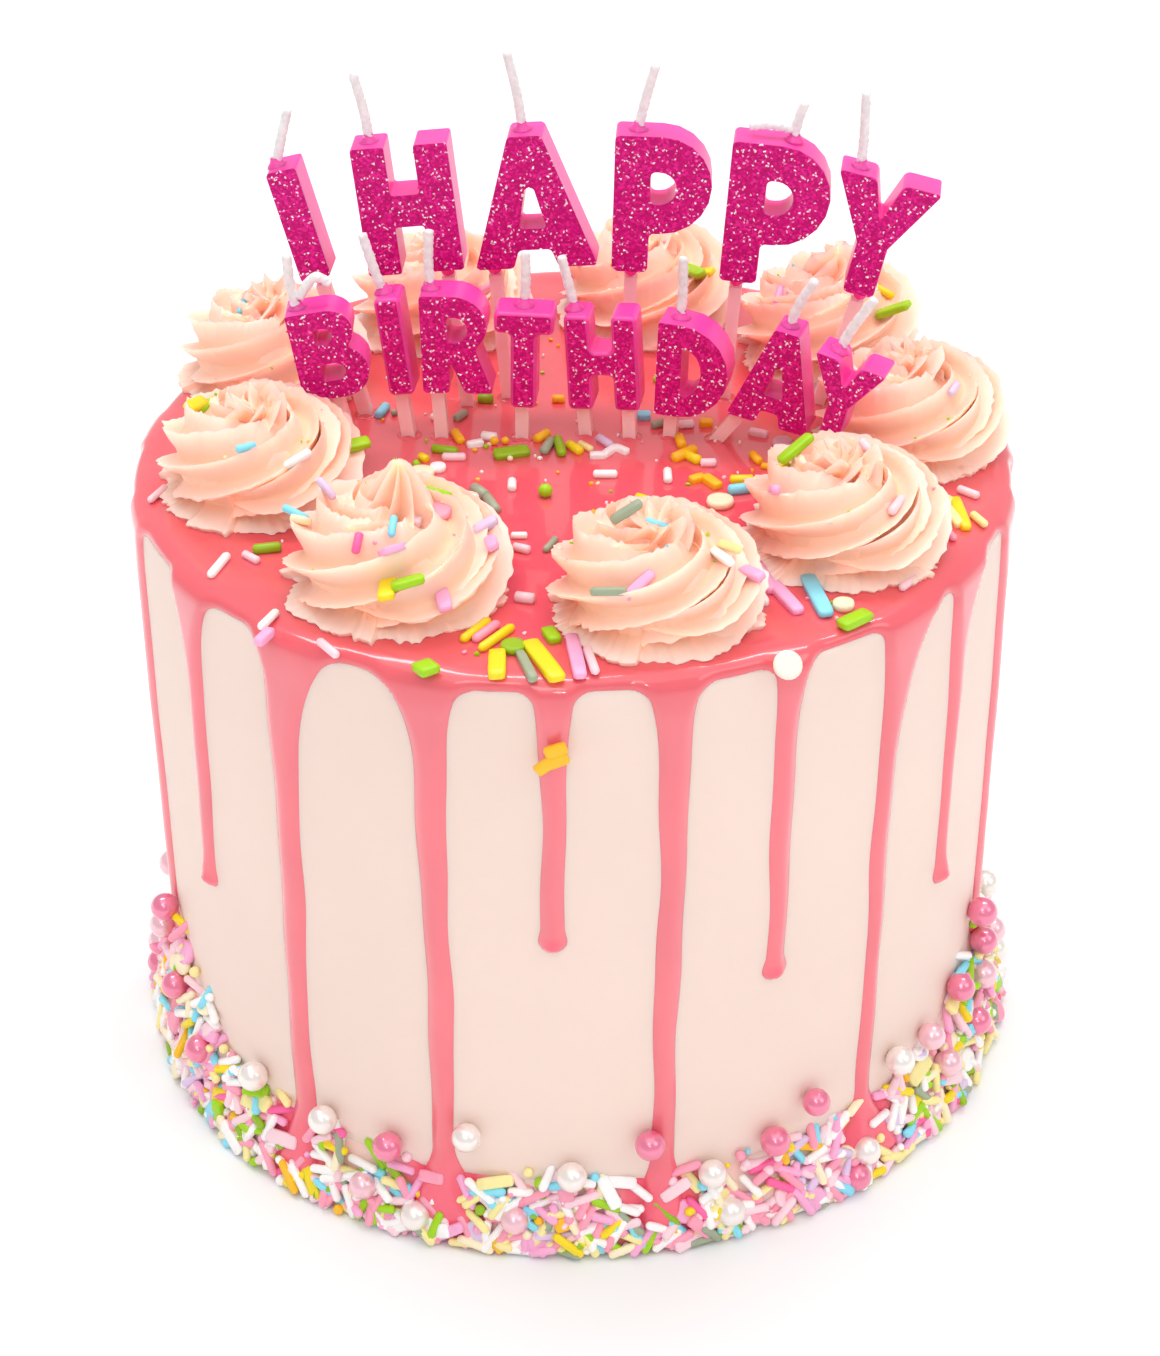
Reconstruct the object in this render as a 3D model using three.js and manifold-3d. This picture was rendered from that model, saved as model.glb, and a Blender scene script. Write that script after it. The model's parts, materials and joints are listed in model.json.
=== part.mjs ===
// A small drip cake: a frosted cylinder under a poured pink glaze that runs down its side, nine piped
// rosettes round the top, sprinkles at the foot and on top, and two rows of letter candles on picks.
// Millimetres, +Z up, origin at the centre of the cake's flat base, the viewer's side towards -Y.
import * as THREE from 'three';
import { mergeVertices } from 'three/addons/utils/BufferGeometryUtils.js';
import Module from 'manifold-3d';

const wasm = await Module();
wasm.setup();

// The cake and its glaze.
const CAKE_RADIUS = 80;
const CAKE_TOP = 118.2;
const CAKE_EDGE = 1.6;
const GLAZE_TOP = 120;
const GLAZE_RADIUS = 81.2;
const SKIRT_EDGE = 117;
const GAP = 0.3;
const FINEST = 0.05;
const SIDE_SEGMENTS = 60;
const FLOOR_CUT = { width: 400, depth: 20 };

// The poured glaze's outline as [radius, height], from its underside round the rim to the middle.
const GLAZE_PROFILE = [
  [0, SKIRT_EDGE], [GLAZE_RADIUS, SKIRT_EDGE], [GLAZE_RADIUS, 118.3], [80.3, 119.5], [78.4, GLAZE_TOP],
  [0, GLAZE_TOP],
];

// Drips: azimuth at the rim, azimuth at the end and height of the end. Zero height runs out at the foot.
const DRIP_HALF_WIDTH = 2.8;
const DRIP_DEPTH = 2;
const DRIP_SHOULDER = 0.3;
const DRIP_TOP = 117.8;
const DRIP_FLARE = 9;
const DRIP_FLARE_LENGTH = 4.4;
const FLARE_HEIGHTS = [DRIP_TOP, 115.4, 112.6, 108];
const BULB_RADIUS = 3.3;
const BULB_SWELL = 0.8;
const END_DEPTH = 0.3;
const POOL_RADIUS = 6.2;
const POOL_DEPTH = 3.4;
const POOL_TOP = 20;
const POOL_FOOT = 1.4;
const POOL_HEIGHTS = [POOL_TOP, 13, 7, POOL_FOOT];
const DRIP_SUNK = 3;
const SLOT_REACH = 12;
const DRIPS = [
  [-166, -166, 0], [-145, -146, 54], [-127.1, -129.9, 0], [-107.4, -107.4, 0], [-92.6, -93, 65],
  [-77.6, -79.9, 0], [-64, -64.5, 53], [-47.3, -48.9, 0], [-34.6, -34.8, 54], [-15.2, -16.8, 27],
  [3, 3.5, 0], [21, 20, 62], [40, 41, 0], [58, 57, 44], [77, 78.5, 0],
  [95, 94.5, 71], [113, 112, 0], [131, 131.5, 38], [150, 149, 0], [172, 171.5, 58],
];

// Rosettes: centre, footprint radius and height of the peak.
const ROSETTE_ARMS = 9;
const ROSETTE_TWIST = 190;
const ROSETTES = [
  { name: 'rosette_left_back', x: -57.5, y: 29, radius: 18.9, height: 20 },
  { name: 'rosette_left', x: -56.3, y: -14, radius: 19.4, height: 20.5 },
  { name: 'rosette_left_front', x: -30.3, y: -49, radius: 20.4, height: 24 },
  { name: 'rosette_front', x: 13.1, y: -57.6, radius: 19, height: 20.7 },
  { name: 'rosette_right_front', x: 46.2, y: -35.9, radius: 19, height: 20 },
  { name: 'rosette_right', x: 61.3, y: 2, radius: 18.6, height: 19.5 },
  { name: 'rosette_right_back', x: 49.6, y: 38.6, radius: 18.8, height: 23 },
  { name: 'rosette_back', x: 14.5, y: 58.2, radius: 19, height: 19 },
  { name: 'rosette_back_left', x: -26.5, y: 53.6, radius: 18.6, height: 20.5 },
];

// Candles: front face's lower middle (x, y, z), turn about the upright, lean to the right, height, half
// width as a share of the height, the picks (place across the letter, extra slant) and the wick's route
// in the plane of the letter, from its lower middle.
const CANDLE_DEPTH = 7;
const STROKE = 0.25;
const NUB = { top: 3.6, bottom: 2.6, height: 2 };
const PICK_WIDTH = 2.4;
const PICK_REACH = 10;
const WICK_RADIUS = 0.8;
const CANDLES = [
  { row: 'back', glyph: 'I', x: -46.4, y: 12, z: 148.8, turn: 5, lean: -14.5, height: 21.5, half: 0.13,
    picks: [[0, 0]], wicks: [[[-1.2, 0], [1.2, 4.6], [3.9, 9.4]]] },
  { row: 'back', glyph: 'H', x: -28.3, y: 15, z: 148.5, turn: 4, lean: -5.9, height: 24.7, half: 0.357,
    picks: [[5.3, 0]], wicks: [[[-5.6, 0], [-5.7, 5], [-6.7, 12.8]]] },
  { row: 'back', glyph: 'A', x: -6.4, y: 17, z: 148.5, turn: 5, lean: -4.4, height: 25.5, half: 0.442,
    picks: [[-8.2, 0]], wicks: [[[-0.6, 0], [-0.9, 6], [-2.1, 14.2]]] },
  { row: 'back', glyph: 'P', x: 16.1, y: 17, z: 147.3, turn: 3, lean: 1.7, height: 26.3, half: 0.337,
    picks: [[-5.3, 0]], wicks: [[[-4.8, 0], [-3.8, 5], [-2.1, 12]]] },
  { row: 'back', glyph: 'P', x: 36.2, y: 16, z: 145, turn: 6, lean: 4.4, height: 27.3, half: 0.34,
    picks: [[-6.1, 0]], wicks: [[[1.6, 0], [1.8, 3], [2.7, 6.8]], [[1.4, 1], [-2.6, 1.5], [-6.6, 0.9]]] },
  { row: 'back', glyph: 'Y', x: 52.2, y: 13, z: 144.3, turn: 8, lean: 12.9, height: 22.9, half: 0.42,
    picks: [[0.6, 4]], wicks: [[[-5.9, 0], [-6.9, 6], [-8.6, 13.4]]] },
  { row: 'front', glyph: 'B', x: -42, y: -3.5, z: 132.7, turn: 0, lean: -9.2, height: 17.1, half: 0.374,
    picks: [[-1, -3]], wicks: [[[-4.4, 0], [-4.6, 4], [-4, 10]], [[-3.6, 1], [-0.1, 4.2], [2.6, 2.6]]] },
  { row: 'front', glyph: 'I', x: -31.1, y: 2.5, z: 129.9, turn: 7, lean: -6.9, height: 19.2, half: 0.125,
    picks: [[-0.8, 0]], wicks: [[[-0.9, 0], [-1.7, 3.4], [-3.1, 11]]] },
  { row: 'front', glyph: 'R', x: -20.8, y: 1.5, z: 130.7, turn: 5, lean: -0.8, height: 19.3, half: 0.334,
    picks: [[-4.2, -2]], wicks: [[[-4.6, 0], [-4.8, 5], [-4.4, 10.8]]] },
  { row: 'front', glyph: 'T', x: -9.1, y: 1.2, z: 127.7, turn: 5, lean: 1.4, height: 19, half: 0.285,
    picks: [[-0.4, 0]], wicks: [[[-0.2, 0], [0, 5], [-0.2, 10.2]]] },
  { row: 'front', glyph: 'H', x: 5.7, y: 1.8, z: 126.8, turn: 10, lean: -2.6, height: 18.7, half: 0.355,
    picks: [[-4.4, -2], [4.1, 1]], wicks: [[[-5.1, 0], [-5.7, 3.2], [-7, 9.8]]] },
  { row: 'front', glyph: 'D', x: 21.2, y: 0.5, z: 125.7, turn: 15, lean: 2.3, height: 18.4, half: 0.36,
    picks: [[-4, 0]], wicks: [[[-3.3, 0], [-3.2, 5], [-3.4, 11.4]]] },
  { row: 'front', glyph: 'A', x: 35.1, y: -3, z: 126.1, turn: 18, lean: 10.1, height: 19, half: 0.405,
    picks: [[-5.2, 26]], wicks: [[[-0.3, 0], [0.5, 4.5], [2.3, 9.6]]] },
  { row: 'front', glyph: 'Y', x: 45.3, y: -15, z: 129.7, turn: 21, lean: 13.3, height: 15.4, half: 0.44,
    picks: [[0, 0]], wicks: [[[-3.1, 0], [-2.2, 4.4], [0.1, 11.4]]] },
];

// Sizes of the sprinkles.
const PEARL_RADIUS = 2.9;
const DISC = { radius: 2.5, thickness: 1.3, sides: 7 };
const SQUARE = { length: 4.4, width: 3.4, thickness: 1.8 };
const BAR = { length: 7.4, width: 3.1, thickness: 2 };
const RIM_BAR = { length: 13, width: 3.3, thickness: 1.9 };
const ROD = { radius: 0.85, straight: 4.6 };

// Sprinkles at the foot: the band is higher at the cake's left and right.
const BAND_HEIGHT = 17;
const BAND_SIDE_RISE = 15;
const BAND_DEPTH = 3.4;
const BAND_ROOT = 3;
const BAND_BUMP = 1.6;
const BAND_COUNTS = { pearl: 9, disc: 7, bar: 12, rod: 31 };
const PEARLS = [
  [-136.9, 19.2], [-124.4, 18.6], [-110.7, 6], [-104, 23], [-90.9, 17.1], [-73.1, 14.5], [-44, 21],
  [-114.7, 18], [-64.6, 18.2], [-58.7, 22], [-52.7, 4], [-163, 33], [-149.7, 14.1], [-21.4, 36],
  [-19.6, 27.4], [-28.8, 22], [-36.9, 20],
];

// Sprinkles on the glaze: kind, x, y, turn, and height of the middle over the glaze.
const TOP_SPRINKLES = [
  ['bar', -12.6, -75, 91, 0.5], ['square', -24.4, -76.4, 35, 0.2], ['bar', 41.6, -58.8, 103, 0.7],
  ['bar', 46.4, -62.6, 36, 0.6], ['disc', 33, -71.6, 20, 0.5], ['disc', -27.7, -9.2, 0, 0.5],
  ['disc', 25.4, -20.4, 0, 0.5], ['rod', -12.8, -67.6, 50, 0.5], ['rod', -7.6, -76, 106, 0.5],
  ['rod', -15.8, -19.9, 118, 0.5], ['rod', -11.2, -2.8, 15, 0.6], ['rod', 5.6, -11.2, 3, 0.5],
  ['rod', -61, -42.6, 70, 0.5], ['rod', -50, -59, 98, 0.5], ['bar', 69, -28.6, 92, 0.5],
  ['rod', 18, 6, 60, 0.5], ['rod', -22, 26, 20, 0.5], ['rod', 6, 31, 130, 0.5], ['rod', -38, 74, 20, 0.5],
  ['rod', 34, 71, 150, 0.5], ['rod', 74.5, 24, 80, 0.5], ['rod', -2, 75.5, 10, 0.5],
];
// The long bar on the front rim: x, y, z, turn and tip.
const RIM_BAR_PLACE = [-3.8, -75.8, 120.3, -69, 10];
// Pearls where the drips run out: height, how much it varies, and distance out of the cake.
const POOL_PEARL = { height: 9, sway: 3, out: 4 };

// Sprinkles on each rosette: kind, direction from its middle, share of its radius, turn.
const ROSETTE_SPRINKLES = {
  rosette_left_back: [['rod', 200, 0.75, 60]],
  rosette_left: [['bar', 158, 0.74, 57], ['bar', 15, 0.8, 20], ['rod', -60, 0.55, 0]],
  rosette_left_front: [['square', -75, 0.62, 80], ['bar', -52, 0.68, 15], ['disc', 60, 0.6, 60]],
  rosette_front: [['rod', -110, 0.4, 55], ['rod', 10, 0.7, -60], ['bar', 20, 0.98, -55]],
  rosette_right_front: [['bar', 150, 0.62, 30], ['rod', 175, 0.7, 75]],
  rosette_right: [['rod', 110, 0.6, 20]],
  rosette_right_back: [['bar', -10, 0.85, -25], ['rod', 200, 0.5, 60]],
  rosette_back: [['bar', -30, 0.55, -70]],
  rosette_back_left: [['rod', -70, 0.6, 30], ['bar', 40, 0.5, 70]],
};

const COLOURS = {
  frosting: '#f7dccb', glaze: '#ff7f8a', rosette: '#ffd5b8', wax: '#e8218f', pick: '#f9cfd0', wick: '#f7f2f2',
};
const materials = {
  frosting: new THREE.MeshStandardMaterial({ color: COLOURS.frosting, roughness: 0.55, metalness: 0 }),
  glaze: new THREE.MeshStandardMaterial({ color: COLOURS.glaze, roughness: 0.12, metalness: 0 }),
  rosette: new THREE.MeshStandardMaterial({ color: COLOURS.rosette, roughness: 0.5, metalness: 0 }),
  wax: new THREE.MeshStandardMaterial({ color: COLOURS.wax, roughness: 0.35, metalness: 0 }),
  pick: new THREE.MeshStandardMaterial({ color: COLOURS.pick, roughness: 0.3, metalness: 0 }),
  wick: new THREE.MeshStandardMaterial({ color: COLOURS.wick, roughness: 0.8, metalness: 0 }),
};

const radians = THREE.MathUtils.degToRad;
const smoothstep = THREE.MathUtils.smoothstep;

// A seeded draw between 0 and 1 (mulberry32).
function seeded(seed) {
  let state = seed;
  return () => {
    state = (state + 0x6d2b79f5) | 0;
    let mixed = Math.imul(state ^ (state >>> 15), 1 | state);
    mixed = (mixed + Math.imul(mixed ^ (mixed >>> 7), 61 | mixed)) ^ mixed;
    return ((mixed ^ (mixed >>> 14)) >>> 0) / 4294967296;
  };
}

// A closed three.js geometry as a solid that can be joined and cut, and back.
function solidOf(geometry) {
  const plain = geometry.clone();
  plain.deleteAttribute('normal');
  plain.deleteAttribute('uv');
  const merged = mergeVertices(plain, 1e-4);
  return new wasm.Manifold(new wasm.Mesh({
    numProp: 3,
    vertProperties: new Float32Array(merged.attributes.position.array),
    triVerts: new Uint32Array(merged.index.array),
  }));
}

function geometryOf(solid) {
  const { vertProperties, triVerts } = solid.getMesh();
  const geometry = new THREE.BufferGeometry();
  geometry.setAttribute('position', new THREE.BufferAttribute(new Float32Array(vertProperties), 3));
  geometry.setIndex(new THREE.BufferAttribute(new Uint32Array(triVerts), 1));
  geometry.computeVertexNormals();
  return geometry;
}

// The largest body of a solid, without any scrap that a cut left loose and without slivers.
function largest(solid) {
  const body = solid.decompose().reduce((best, other) => (other.volume() > best.volume() ? other : best));
  return body.asOriginal().simplify(FINEST);
}

function join(solids) {
  return solids.reduce((sum, solid) => sum.add(solid));
}

// Moves every vertex of a geometry by a function of its place.
function reshape(geometry, move) {
  const position = geometry.attributes.position;
  const point = new THREE.Vector3();
  for (let i = 0; i < position.count; i += 1) {
    point.fromBufferAttribute(position, i);
    move(point, i);
    position.setXYZ(i, point.x, point.y, point.z);
  }
  return geometry;
}

// A solid of revolution about +Z from [radius, height] points.
function turned(points, segments) {
  const profile = points.map(([radius, height]) => new THREE.Vector2(radius, height));
  return new THREE.LatheGeometry(profile, segments).rotateX(Math.PI / 2);
}

function mesh(name, geometry, material) {
  const piece = new THREE.Mesh(geometry, material.clone());
  piece.name = name;
  return piece;
}

function block({ length, width, thickness }) {
  return new THREE.BoxGeometry(length, width, thickness);
}

// Sprinkles, lying along X about the origin.
const sprinkleKinds = {
  pearl: () => new THREE.IcosahedronGeometry(PEARL_RADIUS),
  disc: () => new THREE.CylinderGeometry(DISC.radius, DISC.radius, DISC.thickness, DISC.sides)
    .rotateX(Math.PI / 2),
  square: () => block(SQUARE),
  bar: () => block(BAR),
  rimBar: () => block(RIM_BAR),
  rod: () => new THREE.CapsuleGeometry(ROD.radius, ROD.straight, 1, 6).rotateZ(Math.PI / 2),
};

function placedSprinkle(kind, matrix) {
  return solidOf(sprinkleKinds[kind]().applyMatrix4(matrix));
}

// A frame on the cake's side: X runs round it, Y up and Z outwards, turned in its own plane and tipped.
function sideFrame(azimuth, height, radius, turn, tip) {
  return new THREE.Matrix4().makeRotationZ(radians(azimuth))
    .multiply(new THREE.Matrix4().makeTranslation(radius, 0, height))
    .multiply(new THREE.Matrix4().makeRotationY(Math.PI / 2))
    .multiply(new THREE.Matrix4().makeRotationZ(Math.PI / 2 + radians(turn)))
    .multiply(new THREE.Matrix4().makeRotationY(radians(tip)));
}

function topFrame(x, y, z, turn, tip = 0) {
  return new THREE.Matrix4().makeTranslation(x, y, z)
    .multiply(new THREE.Matrix4().makeRotationZ(radians(turn)))
    .multiply(new THREE.Matrix4().makeRotationY(radians(tip)));
}

function cakeProfile(margin) {
  const radius = CAKE_RADIUS + margin;
  const top = CAKE_TOP + margin;
  return [[0, 0], [radius, 0], [radius, top - CAKE_EDGE], [radius - CAKE_EDGE, top], [0, top]];
}

// Half width and depth of a drip at a height: flared under the rim, round at its end, or wider at the foot.
function dripSection([, , end], height) {
  let half = DRIP_HALF_WIDTH + DRIP_FLARE * Math.exp((height - DRIP_TOP) / DRIP_FLARE_LENGTH);
  let depth = DRIP_DEPTH;
  if (end > 0) {
    const above = Math.max(height - end, 0);
    if (above < BULB_RADIUS) {
      half = Math.sqrt(above * (2 * BULB_RADIUS - above));
      depth = END_DEPTH + (DRIP_DEPTH + BULB_SWELL - END_DEPTH) * (half / BULB_RADIUS);
    } else if (above < 3 * BULB_RADIUS) {
      const share = smoothstep(above, BULB_RADIUS, 3 * BULB_RADIUS);
      half = THREE.MathUtils.lerp(BULB_RADIUS, half, share);
      depth = THREE.MathUtils.lerp(DRIP_DEPTH + BULB_SWELL, DRIP_DEPTH, share);
    }
  } else {
    const share = 1 - smoothstep(height, POOL_TOP * 0.25, POOL_TOP);
    half = THREE.MathUtils.lerp(half, POOL_RADIUS, share);
    depth = THREE.MathUtils.lerp(depth, POOL_DEPTH, share);
  }
  return { half, depth };
}

function dripHeights([, , end]) {
  const foot = end > 0
    ? [3 * BULB_RADIUS, BULB_RADIUS, 0.35 * BULB_RADIUS, 0].map((above) => end + above)
    : POOL_HEIGHTS;
  return [...FLARE_HEIGHTS, ...foot];
}

// One drip wrapped round the cake, a ridge in section.
function dripSolid(drip) {
  const heights = dripHeights(drip);
  const rings = heights.length - 1;
  const stem = new THREE.CylinderGeometry(1, 1, rings, 4, rings).rotateX(Math.PI / 2);
  return solidOf(reshape(stem, (point) => {
    const height = heights[Math.round(rings / 2 - point.z)];
    const { half, depth } = dripSection(drip, height);
    const outward = point.y * (point.y > 0 ? depth : DRIP_SUNK) + Math.abs(point.x) * DRIP_SHOULDER * depth;
    wrap(drip, point, -point.x * half, outward, height);
  }));
}

// The slot that keeps the foot band clear of a drip.
function dripSlot(drip) {
  const heights = dripHeights(drip).slice(FLARE_HEIGHTS.length - 1);
  const rings = heights.length - 1;
  const box = new THREE.BoxGeometry(2, 2, rings, 1, 1, rings);
  return solidOf(reshape(box, (point) => {
    const height = heights[Math.round(rings / 2 - point.z)];
    const half = dripSection(drip, height).half + GAP;
    const below = height === heights[rings] ? 6 : 0;
    wrap(drip, point, -point.x * half, point.y * SLOT_REACH, height - below);
  }));
}

// Puts a point at a distance across and out from a drip's middle line, at a height.
function wrap([start, finish, end], point, across, outward, height) {
  const azimuth = THREE.MathUtils.mapLinear(height, DRIP_TOP, Math.max(end, POOL_FOOT), start, finish);
  const angle = radians(azimuth) + across / CAKE_RADIUS;
  const radius = CAKE_RADIUS + GAP + outward;
  point.set(radius * Math.cos(angle), radius * Math.sin(angle), height);
}

function bandTop(azimuth) {
  return BAND_HEIGHT + BAND_SIDE_RISE * Math.abs(Math.cos(radians(azimuth))) ** 8;
}

// The heaped band of sprinkles at the foot: a bumpy ring with the larger sprinkles on it.
function footBand() {
  const random = seeded(11);
  const root = CAKE_RADIUS - BAND_ROOT;
  const profile = [[root, 0], [CAKE_RADIUS + 1, 0], [CAKE_RADIUS + BAND_DEPTH, 0.16],
    [CAKE_RADIUS + 0.8 * BAND_DEPTH, 0.5], [CAKE_RADIUS + 0.35 * BAND_DEPTH, 0.85], [root, 1], [root, 0]];
  const bumps = Array.from({ length: SIDE_SEGMENTS * profile.length }, () => random());
  const ring = reshape(turned(profile, SIDE_SEGMENTS), (point, index) => {
    const azimuth = THREE.MathUtils.radToDeg(Math.atan2(point.y, point.x));
    const column = Math.floor(index / profile.length) % SIDE_SEGMENTS;
    const row = index % profile.length;
    const outer = row > 1 && row < profile.length - 2;
    const bump = outer ? BAND_BUMP * (bumps[column * profile.length + row] - 0.5) : 0;
    const radius = Math.hypot(point.x, point.y);
    point.x *= (radius + bump) / radius;
    point.y *= (radius + bump) / radius;
    point.z *= bandTop(azimuth) * (outer ? 1 + 0.08 * bump : 1);
  });
  return solidOf(ring);
}

function footSprinkles() {
  const random = seeded(23);
  const golden = 137.508;
  const placed = PEARLS.map(([azimuth, height]) => (
    placedSprinkle('pearl', sideFrame(azimuth, height, CAKE_RADIUS + bandDepthAt(azimuth, height), 0, 0))));
  Object.entries(BAND_COUNTS).forEach(([kind, count], group) => {
    for (let i = 0; i < count; i += 1) {
      const azimuth = kind === 'pearl'
        ? 12 + (i + 0.6 * random()) * (160 / count)
        : i * golden + 40 * group;
      const share = 0.12 + 0.9 * random() ** 1.1;
      const height = Math.max(share * bandTop(azimuth), kind === 'rod' ? 2.2 : 3.8);
      const turn = 180 * random();
      const tip = 24 * (random() - 0.5);
      const radius = CAKE_RADIUS + bandDepthAt(azimuth, height) - (kind === 'pearl' ? 0 : 0.7);
      placed.push(placedSprinkle(kind, sideFrame(azimuth, height, radius, turn, tip)));
    }
  });
  return placed;
}

// How far out a sprinkle's middle lies at a height in the band.
function bandDepthAt(azimuth, height) {
  const share = THREE.MathUtils.clamp(height / bandTop(azimuth), 0, 1.25);
  return THREE.MathUtils.mapLinear(share, 0, 1.25, BAND_DEPTH + 0.9, 1.9);
}

// Picks as solids in the frame of their candle, also used, grown, to bore the cake and the glaze.
function pickGeometry(candle, [across, slant], grow) {
  const tilt = radians(slant);
  const nub = candle.row === 'back' ? NUB.height : 0;
  const drop = nub + GAP + 0.5 * PICK_WIDTH * Math.abs(Math.sin(tilt));
  const total = radians(candle.lean + slant);
  const length = (candle.z - GLAZE_TOP) / Math.cos(total) + PICK_REACH - drop;
  const width = PICK_WIDTH + 2 * grow;
  return new THREE.BoxGeometry(width, length + grow, width)
    .translate(0, -0.5 * (length + grow), 0)
    .rotateZ(-tilt)
    .translate(across - drop * Math.sin(tilt), -drop, -0.5 * CANDLE_DEPTH);
}

function candleFrame(candle) {
  const frame = new THREE.Group();
  frame.position.set(candle.x, candle.y, candle.z);
  frame.rotation.set(Math.PI / 2, 0, -radians(candle.turn), 'ZYX');
  const letter = new THREE.Group();
  letter.rotation.z = -radians(candle.lean);
  frame.add(letter);
  frame.updateMatrixWorld(true);
  return { frame, letter };
}

function polygon(points) {
  return new THREE.Shape(points.map(([x, y]) => new THREE.Vector2(x, y)));
}

function mirrored(points) {
  return [...points, ...points.map(([x, y]) => [-x, y]).reverse()];
}

// A hole with a straight left side and a round right side.
function bowlHole(left, right, low, high) {
  const hole = new THREE.Path();
  const middle = (low + high) / 2;
  const bend = Math.min((high - low) / 2, right - left - 0.02);
  hole.moveTo(left, low);
  hole.lineTo(right - bend, low);
  hole.absellipse(right - bend, middle, bend, (high - low) / 2, -Math.PI / 2, Math.PI / 2, false);
  hole.lineTo(left, high);
  hole.closePath();
  return hole;
}

// Block capitals one unit high, standing on zero, for a half width.
const glyphs = {
  I: (half) => polygon([[-half, 0], [half, 0], [half, 1], [-half, 1]]),
  H: (half) => polygon([
    [-half, 0], [-half + STROKE, 0], [-half + STROKE, 0.37], [half - STROKE, 0.37], [half - STROKE, 0],
    [half, 0], [half, 1], [half - STROKE, 1], [half - STROKE, 0.62], [-half + STROKE, 0.62],
    [-half + STROKE, 1], [-half, 1],
  ]),
  T: (half) => polygon([
    [-0.5 * STROKE, 0], [0.5 * STROKE, 0], [0.5 * STROKE, 0.78], [half, 0.78], [half, 1], [-half, 1],
    [-half, 0.78], [-0.5 * STROKE, 0.78],
  ]),
  Y: (half) => polygon([
    [-0.5 * STROKE, 0], [0.5 * STROKE, 0], [0.5 * STROKE, 0.44], [half, 1], [half - 0.31, 1], [0, 0.66],
    [0.31 - half, 1], [-half, 1], [-0.5 * STROKE, 0.44],
  ]),
  A: (half) => {
    const slope = half - 0.12;
    const inner = (height) => half - 0.28 - slope * height;
    const shape = polygon([
      [-half, 0], [0.28 - half, 0], [-inner(0.14), 0.14], [inner(0.14), 0.14], [half - 0.28, 0], [half, 0],
      [0.12, 1], [-0.12, 1],
    ]);
    shape.holes.push(polygon(mirrored([[0.1, 0.3], [0.03, 0.62]])));
    return shape;
  },
  P: (half) => {
    const shape = new THREE.Shape();
    shape.moveTo(-half, 0);
    shape.lineTo(STROKE - half, 0);
    shape.lineTo(STROKE - half, 0.29);
    shape.absellipse(half - 0.35, 0.645, 0.35, 0.355, -Math.PI / 2, Math.PI / 2, false);
    shape.lineTo(-half, 1);
    shape.holes.push(bowlHole(STROKE - half, 0.28 * half, 0.505, 0.745));
    return shape;
  },
  R: (half) => {
    const shape = new THREE.Shape();
    shape.moveTo(-half, 0);
    shape.lineTo(STROKE - half, 0);
    shape.lineTo(STROKE - half + 0.02, 0.33);
    shape.lineTo(half - 0.27, 0);
    shape.lineTo(half, 0);
    shape.lineTo(0.18, 0.45);
    shape.absellipse(half - 0.36, 0.7, 0.32, 0.3, -Math.PI / 4, Math.PI / 2, false);
    shape.lineTo(-half, 1);
    shape.holes.push(bowlHole(STROKE - half, 0.11, 0.53, 0.78));
    return shape;
  },
  D: (half) => {
    const shape = new THREE.Shape();
    shape.moveTo(-half, 0);
    shape.lineTo(half - 0.5, 0);
    shape.absellipse(half - 0.5, 0.5, 0.5, 0.5, -Math.PI / 2, Math.PI / 2, false);
    shape.lineTo(-half, 1);
    shape.holes.push(bowlHole(STROKE - half, half - STROKE - 0.02, 0.23, 0.75));
    return shape;
  },
  B: (half) => {
    const shape = new THREE.Shape();
    shape.moveTo(-half, 0);
    shape.lineTo(half - 0.3, 0);
    shape.absellipse(half - 0.3, 0.29, 0.3, 0.29, -Math.PI / 2, Math.PI / 3, false);
    shape.absellipse(half - 0.34, 0.76, 0.26, 0.24, -Math.PI / 4, Math.PI / 2, false);
    shape.lineTo(-half, 1);
    shape.holes.push(bowlHole(STROKE - half, half - 0.24, 0.2, 0.4));
    shape.holes.push(bowlHole(STROKE - half, half - 0.3, 0.62, 0.81));
    return shape;
  },
};

function candleGeometry(candle) {
  const { height, half, glyph } = candle;
  const letter = new THREE.ExtrudeGeometry(glyphs[glyph](half), {
    depth: CANDLE_DEPTH / height, bevelEnabled: false, curveSegments: 5,
  }).scale(height, height, height).translate(0, 0, -CANDLE_DEPTH);
  const body = solidOf(letter);
  if (candle.row === 'front') {
    return geometryOf(body);
  }
  const nubs = candle.picks.map(([across]) => {
    const nub = new THREE.CylinderGeometry(NUB.top / 2, NUB.bottom / 2, NUB.height + 1, 6);
    return solidOf(nub.translate(across, 0.5 - 0.5 * NUB.height, -0.5 * CANDLE_DEPTH));
  });
  return geometryOf(largest(join([body, ...nubs])));
}

function wickGeometry(candle) {
  const section = new THREE.Shape();
  section.absarc(0, 0, WICK_RADIUS, 0, 2 * Math.PI, false);
  const strands = candle.wicks.map((route) => {
    const points = route.map(([x, y], index) => {
      const lift = index === 0 && candle.wicks[0] === route ? GAP : GAP + WICK_RADIUS;
      return new THREE.Vector3(x, candle.height + y + (index === 0 ? lift : 0), -0.5 * CANDLE_DEPTH);
    });
    const rise = candle.wicks[0] === route ? 0.9 : 0.1;
    points.splice(1, 0, points[0].clone().add(new THREE.Vector3(0, rise, 0)));
    const path = new THREE.CatmullRomCurve3(points);
    return solidOf(new THREE.ExtrudeGeometry(section, { steps: 4, extrudePath: path, curveSegments: 3 }));
  });
  return geometryOf(largest(join(strands)));
}

// A rosette: spiral blades with deep valleys between them, rising in two coils to a peak.
const ROSETTE_PROFILE = [
  [0, 0], [0.93, 0], [1, 0.12], [0.99, 0.27], [0.88, 0.44], [0.7, 0.57], [0.54, 0.6], [0.42, 0.7],
  [0.28, 0.85], [0.11, 0.97], [0, 1],
];
const VALLEY_DEPTH = [0, 0.5, 1.6, 2.6, 3.2, 3, 2.4, 2.2, 1.8, 0.6, 0];

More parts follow.
